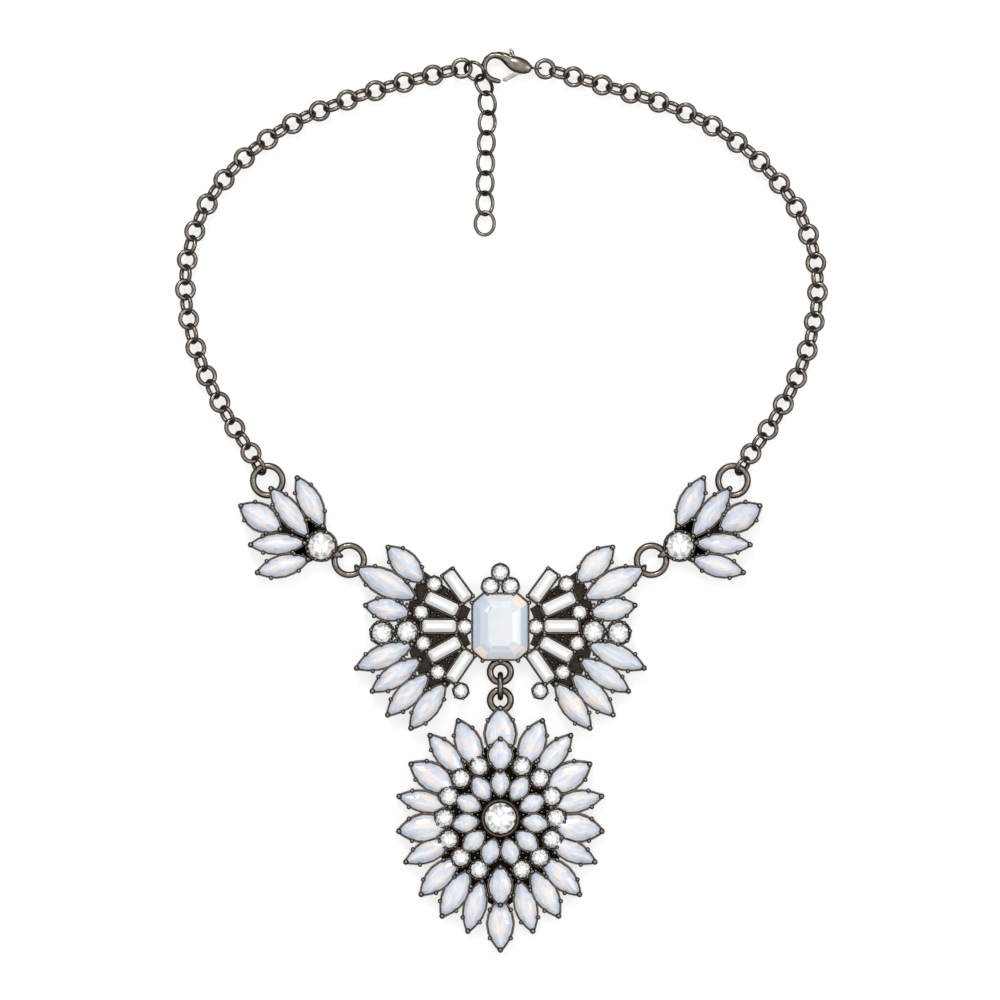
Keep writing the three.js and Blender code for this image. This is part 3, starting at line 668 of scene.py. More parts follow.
def wing_nodes(kind, count):
    return [f"wing_{side}_{kind}_{i}" for side in ("right", "left") for i in range(1, count + 1)]


def wing_point(distance, bearing, side):
    """A point of the right wing, or mirrored where the side is -1."""
    at = polar(distance, bearing)
    return Vector((side * at.x, at.y, 0))


def wing_round_lies():
    lies = []
    for side in (1, -1):
        for bearing, distance in WING_ROUNDS:
            at = wing_point(distance, bearing, side)
            lies.append(Lie(at, 11 * bearing, SMALL_ROUND, SMALL_ROUND, WING_SEAT))
        for bearing, distance in WING_LARGE_ROUNDS:
            at = wing_point(distance, bearing, side)
            lies.append(Lie(at, 9 * distance, LARGE_ROUND, LARGE_ROUND, WING_SEAT))
    for x, y in TOP_ROUNDS:
        lies.append(Lie((x, y), 7 * x, TOP_ROUND, TOP_ROUND, WING_SEAT))
    return lies


def pendant_middle():
    return flat(node_middle("pendant_centre") - octagon_middle())


def petal_lies():
    lies = []
    for bearing, tip, width in PETALS:
        seat = TOP_PETAL_SEAT if bearing == 0 else PETAL_SEAT
        for side in (1,) if bearing in (0, 180) else (1, -1):
            at = pendant_middle() + compass(tip - PETAL_LENGTH / 2, side * bearing)
            lies.append(Lie(at, 90 - side * bearing, PETAL_LENGTH, width, seat))
    return lies


def inner_lies():
    lies = []
    for i in range(INNER_NAVETTES):
        bearing = 360 * i / INNER_NAVETTES
        at = pendant_middle() + compass(INNER_RADIUS, bearing)
        lies.append(Lie(at, 90 - bearing, INNER_LENGTH, INNER_WIDTH, INNER_SEAT))
    return lies


def pendant_round_lies():
    """The rounds between petals and inner navettes, with the raised navettes' two places left free."""
    lies = []
    for i in range(1, ROUND_PLACES):
        if i != ROUND_PLACES / 2:
            at = pendant_middle() + compass(ROUNDS_RADIUS, 360 * i / ROUND_PLACES)
            lies.append(Lie(at, 31 * i, PENDANT_ROUND, PENDANT_ROUND, PENDANT_ROUND_SEAT))
    return lies


def ring_circle():
    """The radius of the circle that a jump ring's wire follows."""
    return (sizes().ring_outer - sizes().ring_wire) / 2


def crossing(lie, centre, radius):
    """Where a jump ring's wire crosses a navette's own axis, on the navette's side of the ring."""
    ends = [lie.point(1, 0), lie.point(-1, 0)]
    tip = min(ends, key=lambda end: (end - centre).length)
    inwards = (lie.at - tip).normalized()
    offset = tip - centre
    run = -offset.dot(inwards)
    reach = math.sqrt(run * run + radius * radius - offset.length_squared)
    return tip + inwards * (run + reach)


# Settings round the stones


def walled(size):
    """A cup's outer length and width round a stone of the given size."""
    return tuple(side + 2 * settings().wall for side in size)


class Workbench:
    """The templates of the settings, modelled once and copied."""

    def __init__(self):
        made = settings()
        inset = 0.8 * made.wall
        self.navette = cup_template("navette_cup", navette_outline(*walled(NAVETTE)), inset)
        self.round = cup_template("round_cup", round_outline(walled(ROUND)[0]), inset)
        self.baguette = cup_template("baguette_cup", rectangle_outline(*walled(BAGUETTE)), inset)
        self.octagon = cup_template("octagon_cup", octagon_outline(*walled(OCTAGON)), 0.9 * made.wall)
        self.side = prong_template("side_prong", made.side_prong, leg=1.2)
        self.tip = prong_template("tip_prong", made.tip_prong, leg=1.8)
        self.small = prong_template("round_prong", made.round_prong, leg=1.0)
        self.bead = prong_template("bead", made.bead, leg=0.9)
        self.copies = []

    def cup(self, template, lie, size):
        rim = lie.seat + settings().rim - CUP_SINK
        self.copies.append(copy_at(template, lie.matrix(size, 0, rim / CUP_HEIGHT)))

    def prong(self, template, at, height):
        self.copies.append(copy_at(template, place(Vector((at.x, at.y, height)))))

    def set_navette(self, lie):
        self.cup(self.navette, lie, NAVETTE)
        top = lie.seat + PRONG_LIFT
        tiny = lie.length < TINY_NAVETTE
        for end in (1, -1):
            tip = lie.point(end * (1 - 2 * TIP_PRONG_INSET / lie.length), 0)
            self.prong(self.small if tiny else self.tip, tip, top - TIP_PRONG_DROP)
            for side in (1, -1):
                share = SIDE_PRONG_SHARE * end
                at = lie.point(share, side * (1 - share * share + PRONG_REACH))
                self.prong(self.small if tiny else self.side, at, top)

    def set_round(self, lie, prongs, ball=None):
        self.cup(self.round, lie, ROUND)
        for i in range(prongs):
            spoke = polar(lie.length / 2 + ROUND_PRONG_REACH, lie.turn + 360 * (i + 0.5) / prongs)
            self.prong(ball or self.small, lie.at + spoke, lie.seat + ROUND_PRONG_LIFT)

    def set_baguette(self, lie):
        self.cup(self.baguette, lie, BAGUETTE)
        along, across = BAGUETTE_PRONG_SHARES
        for end in (1, -1):
            for side in (1, -1):
                self.prong(self.side, lie.point(along * end, across * side), lie.seat + PRONG_LIFT)

    def fan_plate(self, inner, outer, start, sweep):
        """A flat plate bent round the octagon, made by spinning its section clockwise."""
        deselect()
        bpy.ops.mesh.primitive_plane_add(size=1, location=(0, 0, 0))
        plate = bpy.context.object
        thick = settings().back_plate
        section = Matrix.Diagonal((outer - inner, 1, thick, 1)) @ Matrix.Rotation(math.pi / 2, 4, "X")
        middle = Vector(((inner + outer) / 2, 0, PLATE_LOW + thick / 2))
        plate.data.transform(Matrix.Translation(middle) @ section)
        edit_all()
        bpy.ops.mesh.spin(steps=14, angle=math.radians(sweep), center=(0, 0, 0), axis=(0, 0, 1))
        bpy.ops.mesh.select_all(action="SELECT")
        bpy.ops.mesh.fill_holes(sides=0)
        close_piece(plate)
        smooth(plate)
        plate.data.transform(place(Vector((0, 0, 0)), start))
        self.copies.append(plate)

    def round_plate(self, centre):
        """The pendant's round back plate."""
        plate = outline_face(round_outline(PENDANT_PLATE, 48))
        raise_face(PENDANT_PLATE_DEPTH)
        close_piece(plate)
        smooth(plate)
        plate.data.transform(place(centre))
        self.copies.append(plate)

    def back_bar(self, start, end):
        """A flat bar under the stones, soldered from cup to cup."""
        deselect()
        bpy.ops.mesh.primitive_cube_add(size=1, location=(0, 0, 0))
        bar = bpy.context.object
        thick = settings().back_plate
        middle = Vector((*((start + end) / 2).xy, thick / 2))
        shape = Matrix.Diagonal(((end - start).length, BAR_WIDTH, thick, 1))
        bar.data.transform(place(middle, heading(start, end)) @ shape)
        self.copies.append(bar)

    def ring(self, at, height, outer, wire):
        """A ring lying flat."""
        ring = wire_ring("ring", outer, outer, wire)
        ring.data.transform(Matrix.Translation((at.x, at.y, height)))
        self.copies.append(ring)

    def eye(self, at, height, turn):
        """An upright eye round a jump ring's wire, with the swelling on top of it."""
        eye = wire_ring("eye", EYE_OUTER, EYE_OUTER, EYE_WIRE)
        upright = place(Vector((at.x, at.y, height)), turn) @ Matrix.Rotation(math.pi / 2, 4, "X")
        eye.data.transform(upright)
        knuckle = sphere(16, 8)
        smooth(knuckle, 180)
        top = Vector((at.x, at.y, height + (EYE_OUTER - EYE_WIRE) / 2))
        knuckle.data.transform(place(top, turn) @ Matrix.Diagonal((*KNUCKLE, 1)))
        self.copies += [eye, knuckle]

    def navette_eye(self, navette, ring):
        """The eye on a navette's tip, round the wire of the jump ring that crosses it."""
        middle = node_middle(ring) - octagon_middle()
        at = crossing(navette_lie(navette), flat(middle), ring_circle())
        self.eye(at, middle.z, heading(middle, at))

    def drop_loop(self, side):
        """The ring soldered on for the drop link's upper end, or its lower end where the side is -1."""
        low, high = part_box("drop_link")
        end = (high.y if side > 0 else low.y) / MM - octagon_middle().y
        inwards = DROP_WIRE + DROP_PLAY + LOOP_WIRE / 2 - LOOP_CIRCLE
        self.ring(Vector((0, end - side * inwards, 0)), LOOP_HEIGHT, LOOP_OUTER, LOOP_WIRE)

    def finish(self, name, node, finish):
        """Joins what was set into one piece, and puts the templates away."""
        finished(fused(name, self.copies), finish, nodes=(node,))
        drop_template(self.navette, self.round, self.baguette, self.octagon)
        drop_template(self.side, self.tip, self.small, self.bead)


# Chains


def spline(points):
    """Points close together along the centripetal curve through the given ones."""
    stops = [Vector(p) if len(p) == 3 else Vector((*p, NECK_HEIGHT)) for p in points]
    stops = [2 * stops[0] - stops[1], *stops, 2 * stops[-1] - stops[-2]]
    line = []
    for i in range(1, len(stops) - 2):
        a, b, c, d = stops[i - 1:i + 3]
        before, span, after = (math.sqrt((q - p).length) for p, q in ((a, b), (b, c), (c, d)))
        enter = ((b - a) / before - (c - a) / (before + span) + (c - b) / span) * span
        leave = ((c - b) / span - (d - b) / (span + after) + (d - c) / after) * span
        for k in range(ROUTE_STEPS):
            t = k / ROUTE_STEPS
            cubic = (2 * b - 2 * c + enter + leave) * t**3 + (3 * c - 3 * b - 2 * enter - leave) * t**2
            line.append(cubic + enter * t + b)
    line.append(stops[-2])
    return line


def along(line, distance):
    """The point at that distance along a line, and the direction there."""
    for a, b in zip(line, line[1:]):
        step = (b - a).length
        if distance <= step:
            return a.lerp(b, distance / step), (b - a) / step
        distance -= step
    return line[-1], (line[-1] - line[-2]).normalized()


def line_length(line):
    return sum((b - a).length for a, b in zip(line, line[1:]))


def chain_copies(points, start, count, width, wire, lap, roll_of):
    """The links of a chain at even steps along its route, each rolled about the way it goes."""
    line = spline(points)
    step = (line_length(line) - start) / (count - 1)
    link = wire_ring("link", step + lap, width, wire)
    copies = []
    for i in range(count):
        at, way = along(line, start + i * step)
        turn = Matrix.Rotation(math.atan2(way.y, way.x), 4, "Z")
        rise = Matrix.Rotation(-math.asin(way.z), 4, "Y")
        roll = Matrix.Rotation(math.radians(roll_of(i)), 4, "X")
        copies.append(copy_at(link, Matrix.Translation(at) @ turn @ rise @ roll))
    drop_template(link)
    return copies


def wire_piece(name, copies, node):
    finished(fused(name, copies), antique_metal(), nodes=(node,))


def neck_chain(node, route, side):
    """A neck chain from the jump ring that holds it, with links that lean by turns."""
    size = sizes()
    start = ring_circle() - size.ring_wire / 2 - RING_PLAY + (size.pitch + NECK_LINK_LAP) / 2
    ring = node_middle("ring_" + node) - octagon_middle()
    points = [(ring.x, ring.y), *route]
    count = round((line_length(spline(points)) - start) / size.pitch) + 1

    def roll(i):
        return side * (NECK_LAST_ROLL if i == count - 1 else NECK_ROLLS[i % 2])

    copies = chain_copies(points, start, count, size.link_width, size.link_wire, NECK_LINK_LAP, roll)
    wire_piece(node + "_links", copies, node)


def extender_roll(i):
    """The links of the adjusting chain roll to either side by turns, and the last one lies nearly flat."""
    angle = EXTENDER_LAST_ROLL if i == EXTENDER_LINKS - 1 else EXTENDER_ROLL
    return -angle if i % 2 == 0 else angle


# Finishes


def new_group(name, inputs, outputs):
    group = bpy.data.node_groups.new(name, "ShaderNodeTree")
    for label, default in inputs:
        socket = group.interface.new_socket(name=label, in_out="INPUT", socket_type="NodeSocketFloat")
        socket.default_value = default
    for label in outputs:
        group.interface.new_socket(name=label, in_out="OUTPUT", socket_type="NodeSocketFloat")
    return group


def node(tree, kind, **values):
    made = tree.nodes.new(kind)
    for key, value in values.items():
        setattr(made, key, value)
    return made


def feed(tree, value, socket):
    """Links an output to a socket, or sets the socket to a plain value."""
    if hasattr(value, "is_output"):
        tree.links.new(value, socket)
    else:
        socket.default_value = value


def parts_of(tree, vector):
    """The outputs X, Y and Z of a vector taken apart."""
    made = node(tree, "ShaderNodeSeparateXYZ")
    tree.links.new(vector, made.inputs[0])
    return made.outputs


def noise(tree, scale, detail, coordinates):
    texture = node(tree, "ShaderNodeTexNoise")
    texture.inputs["Detail"].default_value = detail
    tree.links.new(coordinates, texture.inputs["Vector"])
    feed(tree, scale, texture.inputs["Scale"])
    return texture.outputs["Fac"]


def remap(tree, value, low, high, to_low=0.0, to_high=1.0):
    made = node(tree, "ShaderNodeMapRange", interpolation_type="SMOOTHSTEP")
    labels = ("Value", "From Min", "From Max", "To Min", "To Max")
    for label, number in zip(labels, (value, low, high, to_low, to_high)):
        feed(tree, number, made.inputs[label])
    return made.outputs["Result"]


def combine(tree, operation, a, b):
    made = node(tree, "ShaderNodeMath", operation=operation, use_clamp=True)
    feed(tree, a, made.inputs[0])
    feed(tree, b, made.inputs[1])
    return made.outputs[0]


def combine_vectors(tree, operation, a, b):
    made = node(tree, "ShaderNodeVectorMath", operation=operation)
    feed(tree, a, made.inputs[0])
    feed(tree, b, made.inputs["Scale" if operation == "SCALE" else 1])
    return made.outputs[0]


def blend_colours(tree, factor, a, b):
    made = node(tree, "ShaderNodeMix", data_type="RGBA")
    tree.links.new(factor, made.inputs[0])
    for socket, value in ((made.inputs[6], a), (made.inputs[7], b)):
        feed(tree, value if hasattr(value, "is_output") else (*value, 1), socket)
    return made.outputs[2]


def patina_and_light_group():
    """Wear and painted light for antique metal: a painted highlight and wear where it faces up, some painted
    light on upright walls, and tarnish with painted shade on slopes, on the sides of wires and below the
    given height.
    """
    if "patina_and_light" in bpy.data.node_groups:
        return bpy.data.node_groups["patina_and_light"]
    inputs = [("Scale", 900.0), ("Grain", 5200.0), ("Low", -0.02), ("High", -0.01)]
    group = new_group("patina_and_light", inputs, ["Wear", "Relief"])
    given = node(group, "NodeGroupInput").outputs
    result = node(group, "NodeGroupOutput").inputs
    surface = node(group, "ShaderNodeTexCoord").outputs
    upright = parts_of(group, surface["Normal"])["Z"]
    # Painted highlight and shade: metal that faces up takes the worn colour and metal that turns away takes
    # the tarnish colour, as if lit from overhead; the worn tops are partly real wear.
    facing = remap(group, upright, 0.62, 1.0, 0.14, 1.0)
    # Painted light: upright walls get about half the worn colour back, so that the painted shade on the
    # sides stops short of them.
    walls = remap(group, upright, 0.05, 0.35, 0.45, 0.0)
    # Painted shade, partly tarnish: below Low the metal takes the tarnish colour, as if shaded under the
    # stones.
    height = remap(group, parts_of(group, surface["Object"])["Z"], given["Low"], given["High"])
    blotches = noise(group, given["Scale"], 4, surface["Object"])
    grain = noise(group, given["Grain"], 2, surface["Object"])
    patches = remap(group, blotches, 0.3, 0.62, 0.55, 1.0)
    worn_and_lit = combine(group, "MULTIPLY", combine(group, "MULTIPLY", facing, patches), height)
    worn_and_lit = combine(group, "ADD", worn_and_lit, combine(group, "MULTIPLY", walls, patches))
    group.links.new(worn_and_lit, result["Wear"])
    fine = combine(group, "MULTIPLY", grain, 0.5)
    broad = combine(group, "MULTIPLY", blotches, 0.5)
    group.links.new(combine(group, "ADD", fine, broad), result["Relief"])
    return group


def milk_group():
    """Streaks along a milky stone and glints round its middle, another pattern in each stone."""
    if "milk" in bpy.data.node_groups:
        return bpy.data.node_groups["milk"]
    inputs = [("Length Scale", 1.25), ("Width Scale", 1.9), ("Drift", 85.0)]
    group = new_group("milk", inputs, ["Streaks", "Glint"])
    given = node(group, "NodeGroupInput").outputs
    result = node(group, "NodeGroupOutput").inputs
    spread = node(group, "ShaderNodeAttribute", attribute_name="spread").outputs["Vector"]
    where = node(group, "ShaderNodeTexCoord").outputs["Object"]
    stretch = node(group, "ShaderNodeCombineXYZ")
    group.links.new(given["Length Scale"], stretch.inputs["X"])
    group.links.new(given["Width Scale"], stretch.inputs["Y"])
    laid = combine_vectors(group, "MULTIPLY", spread, stretch.outputs[0])
    drift = combine_vectors(group, "SCALE", where, given["Drift"])
    pattern = combine_vectors(group, "ADD", laid, drift)
    aside = combine_vectors(group, "ADD", pattern, (7.0, 3.0, 5.0))
    reach = node(group, "ShaderNodeMath", operation="ABSOLUTE")
    group.links.new(parts_of(group, spread)["X"], reach.inputs[0])
    middle = remap(group, reach.outputs[0], 0.0, 0.85, 1.0, 0.0)
    glint = remap(group, noise(group, 1.3, 0, aside), 0.47, 0.66)
    streaks = remap(group, noise(group, 1.0, 1, pattern), 0.36, 0.64)
    group.links.new(streaks, result["Streaks"])
    group.links.new(combine(group, "MULTIPLY", glint, middle), result["Glint"])
    return group


def new_material(name):
    material = bpy.data.materials.new(name)
    material.use_nodes = True
    return material, material.node_tree, material.node_tree.nodes["Principled BSDF"]


def group_node(tree, group):
    made = node(tree, "ShaderNodeGroup")
    made.node_tree = group
    return made


def antique_metal(name="antique_metal", low=-20.0, high=-10.0, worn_and_lit=None):
    """Antique metal, darkened below the given height in millimetres with tarnish and painted shade, and worn
    with a painted highlight above the other.
    """
    if name in bpy.data.materials:
        return bpy.data.materials[name]
    look = finishes()
    material, tree, shader = new_material(name)
    patina_and_light = group_node(tree, patina_and_light_group())
    patina_and_light.inputs["Low"].default_value = low * MM
    patina_and_light.inputs["High"].default_value = high * MM
    shader.inputs["Metallic"].default_value = 1.0
    # The tarnish colour shows tarnish and painted shade, the worn colour worn metal with its painted
    # highlight.
    tint = blend_colours(tree, patina_and_light.outputs["Wear"], look.tarnish_and_shade, look.metal if worn_and_lit is None else worn_and_lit)
    tree.links.new(tint, shader.inputs["Base Color"])
    tree.links.new(remap(tree, patina_and_light.outputs["Wear"], 0, 1, 0.42, 0.2), shader.inputs["Roughness"])
    bump = node(tree, "ShaderNodeBump")
    bump.inputs["Strength"].default_value = 0.25
    bump.inputs["Distance"].default_value = 0.00004
    tree.links.new(patina_and_light.outputs["Relief"], bump.inputs["Height"])
    tree.links.new(bump.outputs["Normal"], shader.inputs["Normal"])
    return material


def bib_metal():
    # Below 4.4 mm the metal darkens to the tarnish colour: partly tarnish, partly painted shade under the
    # stones.
    return antique_metal("bib_metal", 0.0, 4.4)


def cut_attribute(tree):
    """A stone's depth from its table, its facets' tones and how much they face a corner."""
    attribute = node(tree, "ShaderNodeAttribute", attribute_name="cut")
    parts = node(tree, "ShaderNodeSeparateColor")
    tree.links.new(attribute.outputs["Color"], parts.inputs[0])
    return parts.outputs["Red"], parts.outputs["Green"], parts.outputs["Blue"]


def milky_stone(name="milky_stone", step_cut=False):
    """Milky glass: bluer towards the tips, brighter over the middle, with warm glints between."""
    if name in bpy.data.materials:
        return bpy.data.materials[name]
    look = finishes()
    material, tree, shader = new_material(name)
    milk = group_node(tree, milk_group())
    edge, tone, corner = cut_attribute(tree)
    lit = combine(tree, "MULTIPLY", milk.outputs["Streaks"], 0.12 if step_cut else 0.4)
    centre = remap(tree, edge, 0.0, 0.8, 1, 0)
    lit = combine(tree, "ADD", lit, combine(tree, "MULTIPLY", centre, 0.12 if step_cut else 0.3))
    lit = combine(tree, "ADD", lit, combine(tree, "MULTIPLY", tone, 0.9 if step_cut else 0.25))
    if step_cut:
        base = blend_colours(tree, lit, look.step_shade, look.step_light)
        warm = combine(tree, "MULTIPLY", remap(tree, corner, 0.3, 0.9), remap(tree, tone, 0.0, 0.6))
        warm = combine(tree, "MULTIPLY", warm, remap(tree, edge, 0.1, 0.5, 0.0, 0.8))
    else:
        base = blend_colours(tree, lit, look.milk, look.cloud)
        warm = combine(tree, "MULTIPLY", milk.outputs["Glint"], remap(tree, edge, 0.95, 0.4, 0.15, 0.75))
    base = blend_colours(tree, warm, base, look.glint)
    tree.links.new(base, shader.inputs["Base Color"])
    shader.inputs["Roughness"].default_value = 0.09
    shader.inputs["IOR"].default_value = 1.55
    shader.inputs["Coat Weight"].default_value = 0.15
    shader.inputs["Coat Roughness"].default_value = 0.03
    shader.inputs["Subsurface Weight"].default_value = 0.1
    shader.inputs["Subsurface Radius"].default_value = (0.0012, 0.001, 0.0009)
    return material


def clear_stone(name="clear_stone", shade=1.0):
    """Clear glass over bright foil: each facet throws back light or shade."""
    if name in bpy.data.materials:
        return bpy.data.materials[name]
    look = finishes()
    material, tree, shader = new_material(name)
    edge, tone, _ = cut_attribute(tree)
    depth = remap(tree, edge, 0.0, 0.6, 0.45 * shade, shade)
    dark = combine(tree, "MULTIPLY", remap(tree, tone, 0.35, 0.9), depth)
    base = blend_colours(tree, dark, look.crystal, look.facet_shade)
    tree.links.new(base, shader.inputs["Base Color"])
    tree.links.new(remap(tree, tone, 0, 1, 0.03, 0.12), shader.inputs["Roughness"])
    shader.inputs["Metallic"].default_value = 0.0
    shader.inputs["IOR"].default_value = 1.6
    shader.inputs["Coat Weight"].default_value = 0.6
    shader.inputs["Coat Roughness"].default_value = 0.02
    return material


def floor_paper():
    """Pale paper that is partly lit from below, so that it stays even round the piece."""
    material, tree, shader = new_material("floor_paper")
    where = node(tree, "ShaderNodeTexCoord").outputs["Object"]
    shade = remap(tree, noise(tree, 3.0, 2, where), 0.3, 0.7)
    look = finishes().floor
    mottled = blend_colours(tree, shade, look, [0.985 * c for c in look])
    tree.links.new(mottled, shader.inputs["Base Color"])
    shader.inputs["Emission Color"].default_value = (1, 1, 1, 1)
    shader.inputs["Emission Strength"].default_value = 0.7
    shader.inputs["Roughness"].default_value = 0.75
    shader.inputs["Specular IOR Level"].default_value = 0.2
    return material


# Operators


class NecklaceOperator(bpy.types.Operator):
    bl_options = {"REGISTER", "UNDO"}


class NECKLACE_OT_chains(NecklaceOperator):
    """Make the two neck chains and the adjusting chain of smooth round wire"""

    bl_idname = "necklace.chains"
    bl_label = "Chains"

    def execute(self, context):
        neck_chain("chain_right", CHAIN_RIGHT, -1)
        neck_chain("chain_left", CHAIN_LEFT, 1)
        width, wire = sizes().extender_width, sizes().extender_wire
        copies = chain_copies(EXTENDER, 0, EXTENDER_LINKS, width, wire, EXTENDER_LINK_LAP, extender_roll)
        wire_piece("extender_links", copies, "extender_chain")
        return {"FINISHED"}


class NECKLACE_OT_rings(NecklaceOperator):
    """Make the jump rings, the end ring and the drop's upright link"""

    bl_idname = "necklace.rings"
    bl_label = "Rings"

    def execute(self, context):
        size = sizes()
        for name in ("ring_chain_right", "ring_chain_left", "ring_wing_right", "ring_wing_left"):
            ring = wire_ring(name, size.ring_outer, size.ring_outer, size.ring_wire, around=40, section=14)
            self.lay(name, ring, Matrix.Identity(4))
        outer = size.end_ring_outer
        ring = wire_ring("end", outer, outer, size.end_ring_wire, around=32, section=12)
        turn = Matrix.Rotation(math.radians(END_RING_TURN), 4, "Z")
        self.lay("end_ring", ring, turn @ Matrix.Rotation(math.radians(END_RING_TILT), 4, "X"))
        low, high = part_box("drop_link")
        length, height = (high.y - low.y) / MM, (high.z - low.z) / MM
        link = wire_ring("drop", length, height, DROP_WIRE, around=32, section=12)
        upright = Matrix.Rotation(math.pi / 2, 4, "Z") @ Matrix.Rotation(math.pi / 2, 4, "X")
        self.lay("drop_link", link, upright)
        return {"FINISHED"}

    def lay(self, node, ring, lean):
        """Leans a ring, and takes it to the middle of its node."""
        ring.data.transform(Matrix.Translation(node_middle(node) - octagon_middle()) @ lean)
        wire_piece(node + "_wire", [ring], node)


def hook_tube(stations):
    """A round bar extruded from station to station in the flat, each with its radius."""
    points = [Vector((x, y, 0)) for x, y, _ in stations]
    ways = []
    for before, after in zip([points[0], *points], [*points[1:], points[-1]]):
        ways.append(math.atan2(after.y - before.y, after.x - before.x))
    deselect()
    radius = stations[0][2]
    bpy.ops.mesh.primitive_circle_add(vertices=12, radius=radius, fill_type="NGON", location=(0, 0, 0))
    tube = bpy.context.object
    start = Matrix.Rotation(ways[0], 4, "Z") @ Matrix.Rotation(math.pi / 2, 4, "Y")
    tube.data.transform(Matrix.Translation(points[0]) @ start)
    edit_all()
    for i in range(1, len(stations)):
        step = points[i] - points[i - 1]
        turn = (ways[i] - ways[i - 1] + math.pi) % (2 * math.pi) - math.pi
        grow = stations[i][2] / stations[i - 1][2]
        bpy.ops.mesh.extrude_region_move(TRANSFORM_OT_translate={"value": step})
        bpy.ops.transform.rotate(value=-turn, orient_axis="Z", center_override=points[i])
        bpy.ops.transform.resize(value=(grow, grow, grow), center_override=points[i])
    close_piece(tube)
    apply_modifier(tube, "SUBSURF", levels=1)
    smooth(tube, 60)
    return tube


def clasp_cheek(side):
    """One rounded half of the clasp's body, flat against the lever's slot."""
    cheek = sphere(32, 20)
    cheek.data.transform(Matrix.Diagonal((CHEEK_LENGTH / 2, CHEEK_WIDTH / 2, CLASP_DEPTH / 2, 1)))
    edit_all()
    slot = side * SLOT_HALF
    bpy.ops.mesh.bisect(plane_co=(0, 0, slot), plane_no=(0, 0, -side), use_fill=True, clear_outer=True)
    close_piece(cheek)
    smooth(cheek, 40)
    cheek.data.transform(place(Vector((*CHEEK_MIDDLE, 0)), CHEEK_TURN))
    return cheek


def thumb_nub():
    """The lever's arm to the thumb, with the ball on its end."""
    ball = sphere(20, 12, THUMB_BALL)
    ball.data.transform(Matrix.Translation((*THUMB_ARM[-1][:2], 0)))
    smooth(ball, 180)
    return [hook_tube(THUMB_ARM), ball]


class NECKLACE_OT_clasp(NecklaceOperator):
    """Make the cast lobster clasp, its hook and cheeks, and its lever"""

    bl_idname = "necklace.clasp"
    bl_label = "Clasp"

    def execute(self, context):
        pivot = Vector(frame["record"]["behaviour"]["joints"][0]["pos_m"]) / MM
        eye = pivot - Vector((*LEVER_PIVOT, 0)) - octagon_middle()
        enlarge = Matrix.Diagonal((1 / MM, 1 / MM, 1 / MM, 1))
        for name, body, grain, passes in CASTINGS:
            piece = copy_at(frame["nodes"][name], Matrix.Identity(4))
            close_piece(piece)
            apply_modifier(piece, "REMESH", mode="VOXEL", voxel_size=grain * MM)
            apply_modifier(piece, "SMOOTH", factor=0.5, iterations=passes)
            smooth(piece, 180)
            piece.data.transform(Matrix.Translation(-octagon_middle()) @ enlarge)
            if body == "necklace":
                parts = [hook_tube(CLASP_HOOK), clasp_cheek(1), clasp_cheek(-1)]
                finish = antique_metal()
            else:
                parts = thumb_nub()
                # The lever takes a brighter worn colour: a painted highlight.
                finish = antique_metal("lever_metal", worn_and_lit=finishes().lever)
            for part in parts:
                part.data.transform(Matrix.Translation(eye))
            finished(fused(name + "_cast", [piece, *parts]), finish, body=body, nodes=(name,))
        return {"FINISHED"}


class NECKLACE_OT_bib_settings(NecklaceOperator):
    """Make the bib's soldered cups, prongs, beads, back plates and rings"""

    bl_idname = "necklace.bib_settings"
    bl_label = "Bib settings"

    def execute(self, context):
        bench = Workbench()
        for name in wing_nodes("navette", WING_NAVETTES):
            bench.set_navette(navette_lie(name))
        for name in wing_nodes("baguette", WING_BAGUETTES):
            bench.set_baguette(baguette_lie(name))
        for lie in wing_round_lies():
            if lie.length == LARGE_ROUND:
                bench.set_round(lie, 7, bench.side)
            else:
                bench.set_round(lie, 6)
        raised = place(Vector((0, 0, 0)), 0, (1, 1, OCTAGON_RIM / CUP_HEIGHT))
        bench.copies.append(copy_at(bench.octagon, raised))
        for x, y in OCTAGON_PRONGS:
            bench.prong(bench.side, Vector((x, y, 0)), OCTAGON_PRONG_HEIGHT)
        for hand, side in (("right", 1), ("left", -1)):
            self.back_wing(bench, side)
            bench.navette_eye(f"wing_{hand}_navette_2", f"ring_wing_{hand}")
        bench.drop_loop(1)
        bench.finish("bib_settings", "bib_frame", bib_metal())
        return {"FINISHED"}

    def back_wing(self, bench, side):
        """The plates behind a wing's stones, and the beads that stand on them."""
        for inner, outer, start, sweep in FAN_PLATES:
            bench.fan_plate(inner, outer, start if side > 0 else 180 - start + sweep, sweep)
        for gap in GAP_BEARINGS:
            for distance, aside in GAP_BEADS:
                bench.prong(bench.bead, wing_point(distance, gap + aside, side), GAP_BEAD_HEIGHT)
        for spoke, distance in TIP_BEADS:
            bench.prong(bench.bead, wing_point(distance, spoke, side), BEAD_HEIGHT)


def milky_navettes(name, navette, lies, nodes=(), rise=1.0):
    """Milky navettes on their seats, as one piece."""
    copies = [copy_at(navette, lie.matrix(NAVETTE, lie.seat, rise, STONE_FIT)) for lie in lies]
    finished(fused(name, copies), milky_stone(), nodes=nodes)


